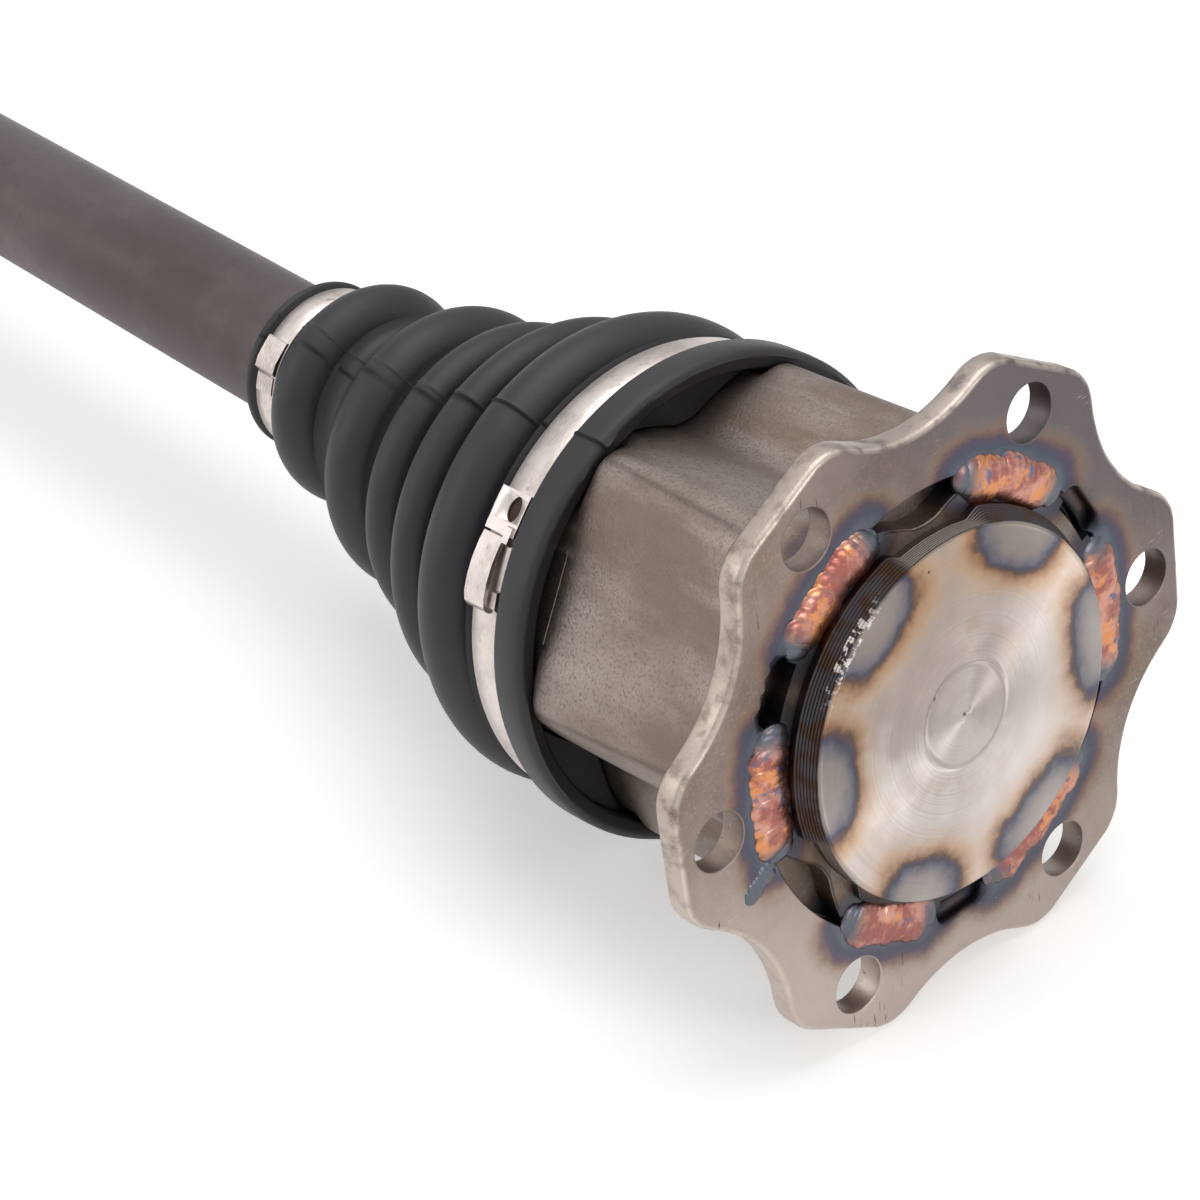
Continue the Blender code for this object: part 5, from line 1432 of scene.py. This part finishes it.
def make_stage(props):
    """Floor, three softboxes, the room and the camera."""
    scene = bpy.context.scene
    bm = bmesh.new()
    bmesh.ops.create_grid(bm, x_segments=1, y_segments=1, size=FLOOR_HALF)
    bmesh.ops.translate(bm, verts=bm.verts, vec=(0, 0, FLOOR_Z * MM - 0.0002))
    mesh = bpy.data.meshes.new("floor")
    bm.to_mesh(mesh)
    bm.free()
    # pale studio card
    card = bpy.data.materials.new("studio card")
    card.use_nodes = True
    shader = card.node_tree.nodes["Principled BSDF"]
    shader.inputs["Base Color"].default_value = linear("#ffffff")
    shader.inputs["Roughness"].default_value = 1.0
    shader.inputs["Specular IOR Level"].default_value = 0.0
    # the card is lifted to white for the camera and mirrors, and keeps the shadow
    rays = add(card.node_tree, "ShaderNodeLightPath").outputs
    seen = add(card.node_tree, "ShaderNodeMath", {"operation": "MAXIMUM"},
               {0: rays["Is Camera Ray"], 1: rays["Is Glossy Ray"]}).outputs[0]
    lift = add(card.node_tree, "ShaderNodeMath", {"operation": "MULTIPLY"},
               {0: seen, 1: props.floor_lift})
    card.node_tree.links.new(lift.outputs[0], shader.inputs["Emission Strength"])
    shader.inputs["Emission Color"].default_value = linear("#ffffff")
    mesh.materials.append(card)
    floor = new_object("floor", mesh)

    def lamp(name, place, size, watts, target=(-0.06, 0, 0)):
        data = bpy.data.lights.new(name, "AREA")
        data.shape = "DISK"
        data.size = size
        data.energy = watts
        obj = new_object(name, data)
        obj.location = place
        obj.rotation_euler = (Vector(target) - Vector(place)).to_track_quat("-Z", "Y").to_euler()

    lamp("overhead softbox", (-0.15, 0.15, 1.3), 1.3, props.overhead_light)
    lamp("front softbox", (0.95, 0.11, 0.33), 0.4, props.front_light, (0, 0, 0))
    lamp("left softbox", (-0.7, -0.9, 0.5), 0.8, props.left_light)

    world = bpy.data.worlds.new("studio")
    world.use_nodes = True
    scene.world = world
    tree = world.node_tree
    tree.nodes.clear()
    rays = add(tree, "ShaderNodeLightPath").outputs
    seen = add(tree, "ShaderNodeMath", {"operation": "MAXIMUM"},
               {0: rays["Is Camera Ray"], 1: rays["Is Transmission Ray"]})
    # reflections see the white room with a darker band low down, as round a photo table
    high = add(tree, "ShaderNodeSeparateXYZ", {},
               {0: add(tree, "ShaderNodeTexCoord").outputs["Generated"]})
    band = stops(add(tree, "ShaderNodeValToRGB", {}, {0: high.outputs["Z"]}),
                 (0.0, 0.62), (0.25, 0.78), (0.6, 1.0), (1.0, 0.9))
    room = add(tree, "ShaderNodeBackground", {}, {"Color": band.outputs[0], "Strength": 1.0})
    white = add(tree, "ShaderNodeBackground", {}, {"Color": linear("#ffffff"), "Strength": 1.0})
    fill = add(tree, "ShaderNodeBackground", {},
               {"Color": linear("#f4f1ee"), "Strength": props.fill_light})
    mirrored = add(tree, "ShaderNodeMixShader", {},
                   {0: rays["Is Glossy Ray"], 1: fill.outputs[0], 2: room.outputs[0]})
    mix = add(tree, "ShaderNodeMixShader", {}, {0: seen.outputs[0], 1: mirrored.outputs[0],
                                                2: white.outputs[0]})
    add(tree, "ShaderNodeOutputWorld", {}, {0: mix.outputs[0]})

    heading, pitch, roll = (math.radians(v) for v in CAMERA_TURN)
    ahead = Vector((-math.sin(heading) * math.cos(pitch), math.cos(heading) * math.cos(pitch),
                    -math.sin(pitch)))
    right = Vector((math.cos(heading), math.sin(heading), 0))
    down = ahead.cross(right)
    r0 = right * math.cos(roll) - down * math.sin(roll)
    r1 = right * math.sin(roll) + down * math.cos(roll)
    turn = Matrix((r0, -r1, -ahead)).transposed()
    data = bpy.data.cameras.new("camera")
    data.lens = CAMERA_LENS
    data.sensor_width = 36.0
    camera = new_object("camera", data)
    axis = HOUSING.to_3x3() @ Vector((1, 0, 0))
    place = Vector(CAMERA_AT) - axis * BOSS_PROUD * MM
    camera.matrix_world = Matrix.Translation(place) @ turn.to_4x4()
    scene.camera = camera
    scene.view_settings.view_transform = "Standard"


# Add-on

def tone(name, description, code):
    """A colour setting whose default is an sRGB hex code."""
    return bpy.props.FloatVectorProperty(
        name=name, description=description, subtype="COLOR", size=4,
        default=linear(code), min=0.0, max=1.0)


class AxleSettings(bpy.types.PropertyGroup):
    """Colours, mesh fineness, sizes of welds and tint, and lights."""
    flange_colour: tone("Flange", "Base colour of the rolled plate", "#94857e")
    forging_colour: tone("Forgings", "Base colour of housing, bell and spider", "#978c85")
    boss_colour: tone("Boss", "Base colour of the turned boss", "#d3cbc8")
    weld_colour: tone("Welds", "Base colour of the tempered beads", "#c48f80")
    bar_colour: tone("Bar", "Base colour of the oxidised bar", "#645b5b")
    bearing_colour: tone("Bearing parts", "Base colour of rollers, rings, race, cage and balls",
                         "#bdbcbc")
    clamp_colour: tone("Clamps", "Base colour of the clamp strip", "#d6ccc7")
    rubber_colour: tone("Boots", "Base colour of the rubber", "#1d1b20")
    face_grid: bpy.props.FloatProperty(
        name="Face grid", description="Mesh spacing on the flange's faces, in mm",
        default=1.3, min=0.6, max=4.0)
    heat_reach: bpy.props.FloatProperty(
        name="Heat tint reach", description="Temper colours end this far from a bead, in mm",
        default=7.5, min=1.0, max=20.0)
    oval_depth: bpy.props.FloatProperty(
        name="Oval depth", description="Reach of the tint ovals in from the boss's rim",
        default=0.0076, min=0.001, max=0.02, unit="LENGTH")
    oval_overhang: bpy.props.FloatProperty(
        name="Oval overhang", description="Degrees that an oval is longer than its bead, each end",
        default=3.0, min=-10.0, max=20.0)
    ripple_pitch: bpy.props.FloatProperty(
        name="Ripple pitch", description="Distance between ripples of a weld bead",
        default=0.00115, min=0.0005, max=0.004, unit="LENGTH")
    puddle_length: bpy.props.FloatProperty(
        name="Puddle length", description="Half the length of one weld puddle",
        default=0.0026, min=0.001, max=0.006, unit="LENGTH")
    bead_width: bpy.props.FloatProperty(
        name="Bead width", description="Width of a weld bead",
        default=0.0072, min=0.002, max=0.012, unit="LENGTH")
    bead_height: bpy.props.FloatProperty(
        name="Bead height", description="Height of a weld bead over the flange",
        default=0.0013, min=0.0005, max=0.004, unit="LENGTH")
    boot_sides: bpy.props.IntProperty(
        name="Boot sides", description="Mesh columns round a boot",
        default=144, min=32, max=400)
    boot_splits: bpy.props.FloatVectorProperty(
        name="Boot splits", size=4, default=(27.5, 34.3, 42.2, 76.6),
        description="Stations where the inner boot passes from joint to joint, in mm")
    overhead_light: bpy.props.FloatProperty(
        name="Overhead softbox", description="Watts", default=8.5, min=0, unit="POWER")
    front_light: bpy.props.FloatProperty(
        name="Front softbox", description="Watts", default=2.2, min=0, unit="POWER")
    left_light: bpy.props.FloatProperty(
        name="Left softbox", description="Watts", default=2.2, min=0, unit="POWER")
    floor_lift: bpy.props.FloatProperty(
        name="Floor lift", description="Added whiteness of the floor in the picture",
        default=0.38, min=0.0, max=1.0)
    fill_light: bpy.props.FloatProperty(
        name="Room light", description="Brightness of the surroundings in reflections",
        default=0.4, min=0.0, max=3.0)


class AXLE_OT_flange(bpy.types.Operator):
    """Plate with six bolt holes, worn rim and heat tint"""
    bl_idname = "axle.flange"
    bl_label = "Adapter flange"
    bl_options = {"REGISTER", "UNDO"}

    def execute(self, context):
        make_flange(context.scene.axle_settings)
        return {"FINISHED"}


class AXLE_OT_housing(bpy.types.Operator):
    """Three-lobed forging and the turned boss in front"""
    bl_idname = "axle.housing"
    bl_label = "Tripod housing and boss"
    bl_options = {"REGISTER", "UNDO"}

    def execute(self, context):
        make_housing(context.scene.axle_settings)
        return {"FINISHED"}


class AXLE_OT_welds(bpy.types.Operator):
    """Six rippled beads round the spigot"""
    bl_idname = "axle.welds"
    bl_label = "Weld beads"
    bl_options = {"REGISTER", "UNDO"}

    def execute(self, context):
        make_welds(context.scene.axle_settings)
        return {"FINISHED"}


class AXLE_OT_inner_boot(bpy.types.Operator):
    """Bellows over the tripod joint, in sections; the end ones go with the housing and the axle"""
    bl_idname = "axle.inner_boot"
    bl_label = "Inner boot"
    bl_options = {"REGISTER", "UNDO"}

    def execute(self, context):
        make_inner_boot(context.scene.axle_settings)
        return {"FINISHED"}


class AXLE_OT_clamps(bpy.types.Operator):
    """Four straps with their closing ears"""
    bl_idname = "axle.clamps"
    bl_label = "Boot clamps"
    bl_options = {"REGISTER", "UNDO"}

    def execute(self, context):
        make_clamps()
        return {"FINISHED"}


class AXLE_OT_shaft(bpy.types.Operator):
    """Bar with splined ends"""
    bl_idname = "axle.shaft"
    bl_label = "Bar shaft"
    bl_options = {"REGISTER", "UNDO"}

    def execute(self, context):
        make_shaft()
        return {"FINISHED"}


class AXLE_OT_bell(bpy.types.Operator):
    """Bell with ball tracks, splined and threaded stub"""
    bl_idname = "axle.bell"
    bl_label = "Outer bell"
    bl_options = {"REGISTER", "UNDO"}

    def execute(self, context):
        make_bell()
        return {"FINISHED"}


class AXLE_OT_outer_boot(bpy.types.Operator):
    """Bellows over the ball joint"""
    bl_idname = "axle.outer_boot"
    bl_label = "Outer boot"
    bl_options = {"REGISTER", "UNDO"}

    def execute(self, context):
        make_outer_boot(context.scene.axle_settings)
        return {"FINISHED"}


class AXLE_OT_bearings(bpy.types.Operator):
    """Finishes of the tripod, race, cage and balls"""
    bl_idname = "axle.bearings"
    bl_label = "Bearing pieces"
    bl_options = {"REGISTER", "UNDO"}

    def execute(self, context):
        dress_bearings()
        return {"FINISHED"}


class AXLE_OT_stage(bpy.types.Operator):
    """Pale floor, softboxes and the photo's camera"""
    bl_idname = "axle.stage"
    bl_label = "Stage, light and camera"
    bl_options = {"REGISTER", "UNDO"}

    def execute(self, context):
        make_stage(context.scene.axle_settings)
        return {"FINISHED"}


STEPS = (
    AXLE_OT_flange,
    AXLE_OT_housing,
    AXLE_OT_welds,
    AXLE_OT_inner_boot,
    AXLE_OT_clamps,
    AXLE_OT_shaft,
    AXLE_OT_bell,
    AXLE_OT_outer_boot,
    AXLE_OT_bearings,
    AXLE_OT_stage,
)


class AXLE_PT_panel(bpy.types.Panel):
    """The axle's pieces and settings."""
    bl_label = "Drive axle"
    bl_idname = "AXLE_PT_panel"
    bl_space_type = "VIEW_3D"
    bl_region_type = "UI"
    bl_category = "Axle"

    def draw(self, context):
        for step in STEPS:
            self.layout.operator(step.bl_idname)
        for name in AxleSettings.__annotations__:
            self.layout.prop(context.scene.axle_settings, name)


CLASSES = (AxleSettings, *STEPS, AXLE_PT_panel)


def register():
    for item in CLASSES:
        bpy.utils.register_class(item)
    bpy.types.Scene.axle_settings = bpy.props.PointerProperty(type=AxleSettings)


def unregister():
    del bpy.types.Scene.axle_settings
    for item in reversed(CLASSES):
        bpy.utils.unregister_class(item)


def main():
    """Presses all the buttons in turn."""
    register()
    bpy.ops.axle.flange()
    bpy.ops.axle.housing()
    bpy.ops.axle.welds()
    bpy.ops.axle.inner_boot()
    bpy.ops.axle.clamps()
    bpy.ops.axle.shaft()
    bpy.ops.axle.bell()
    bpy.ops.axle.outer_boot()
    bpy.ops.axle.bearings()
    bpy.ops.axle.stage()


if __name__ == "__main__":
    main()
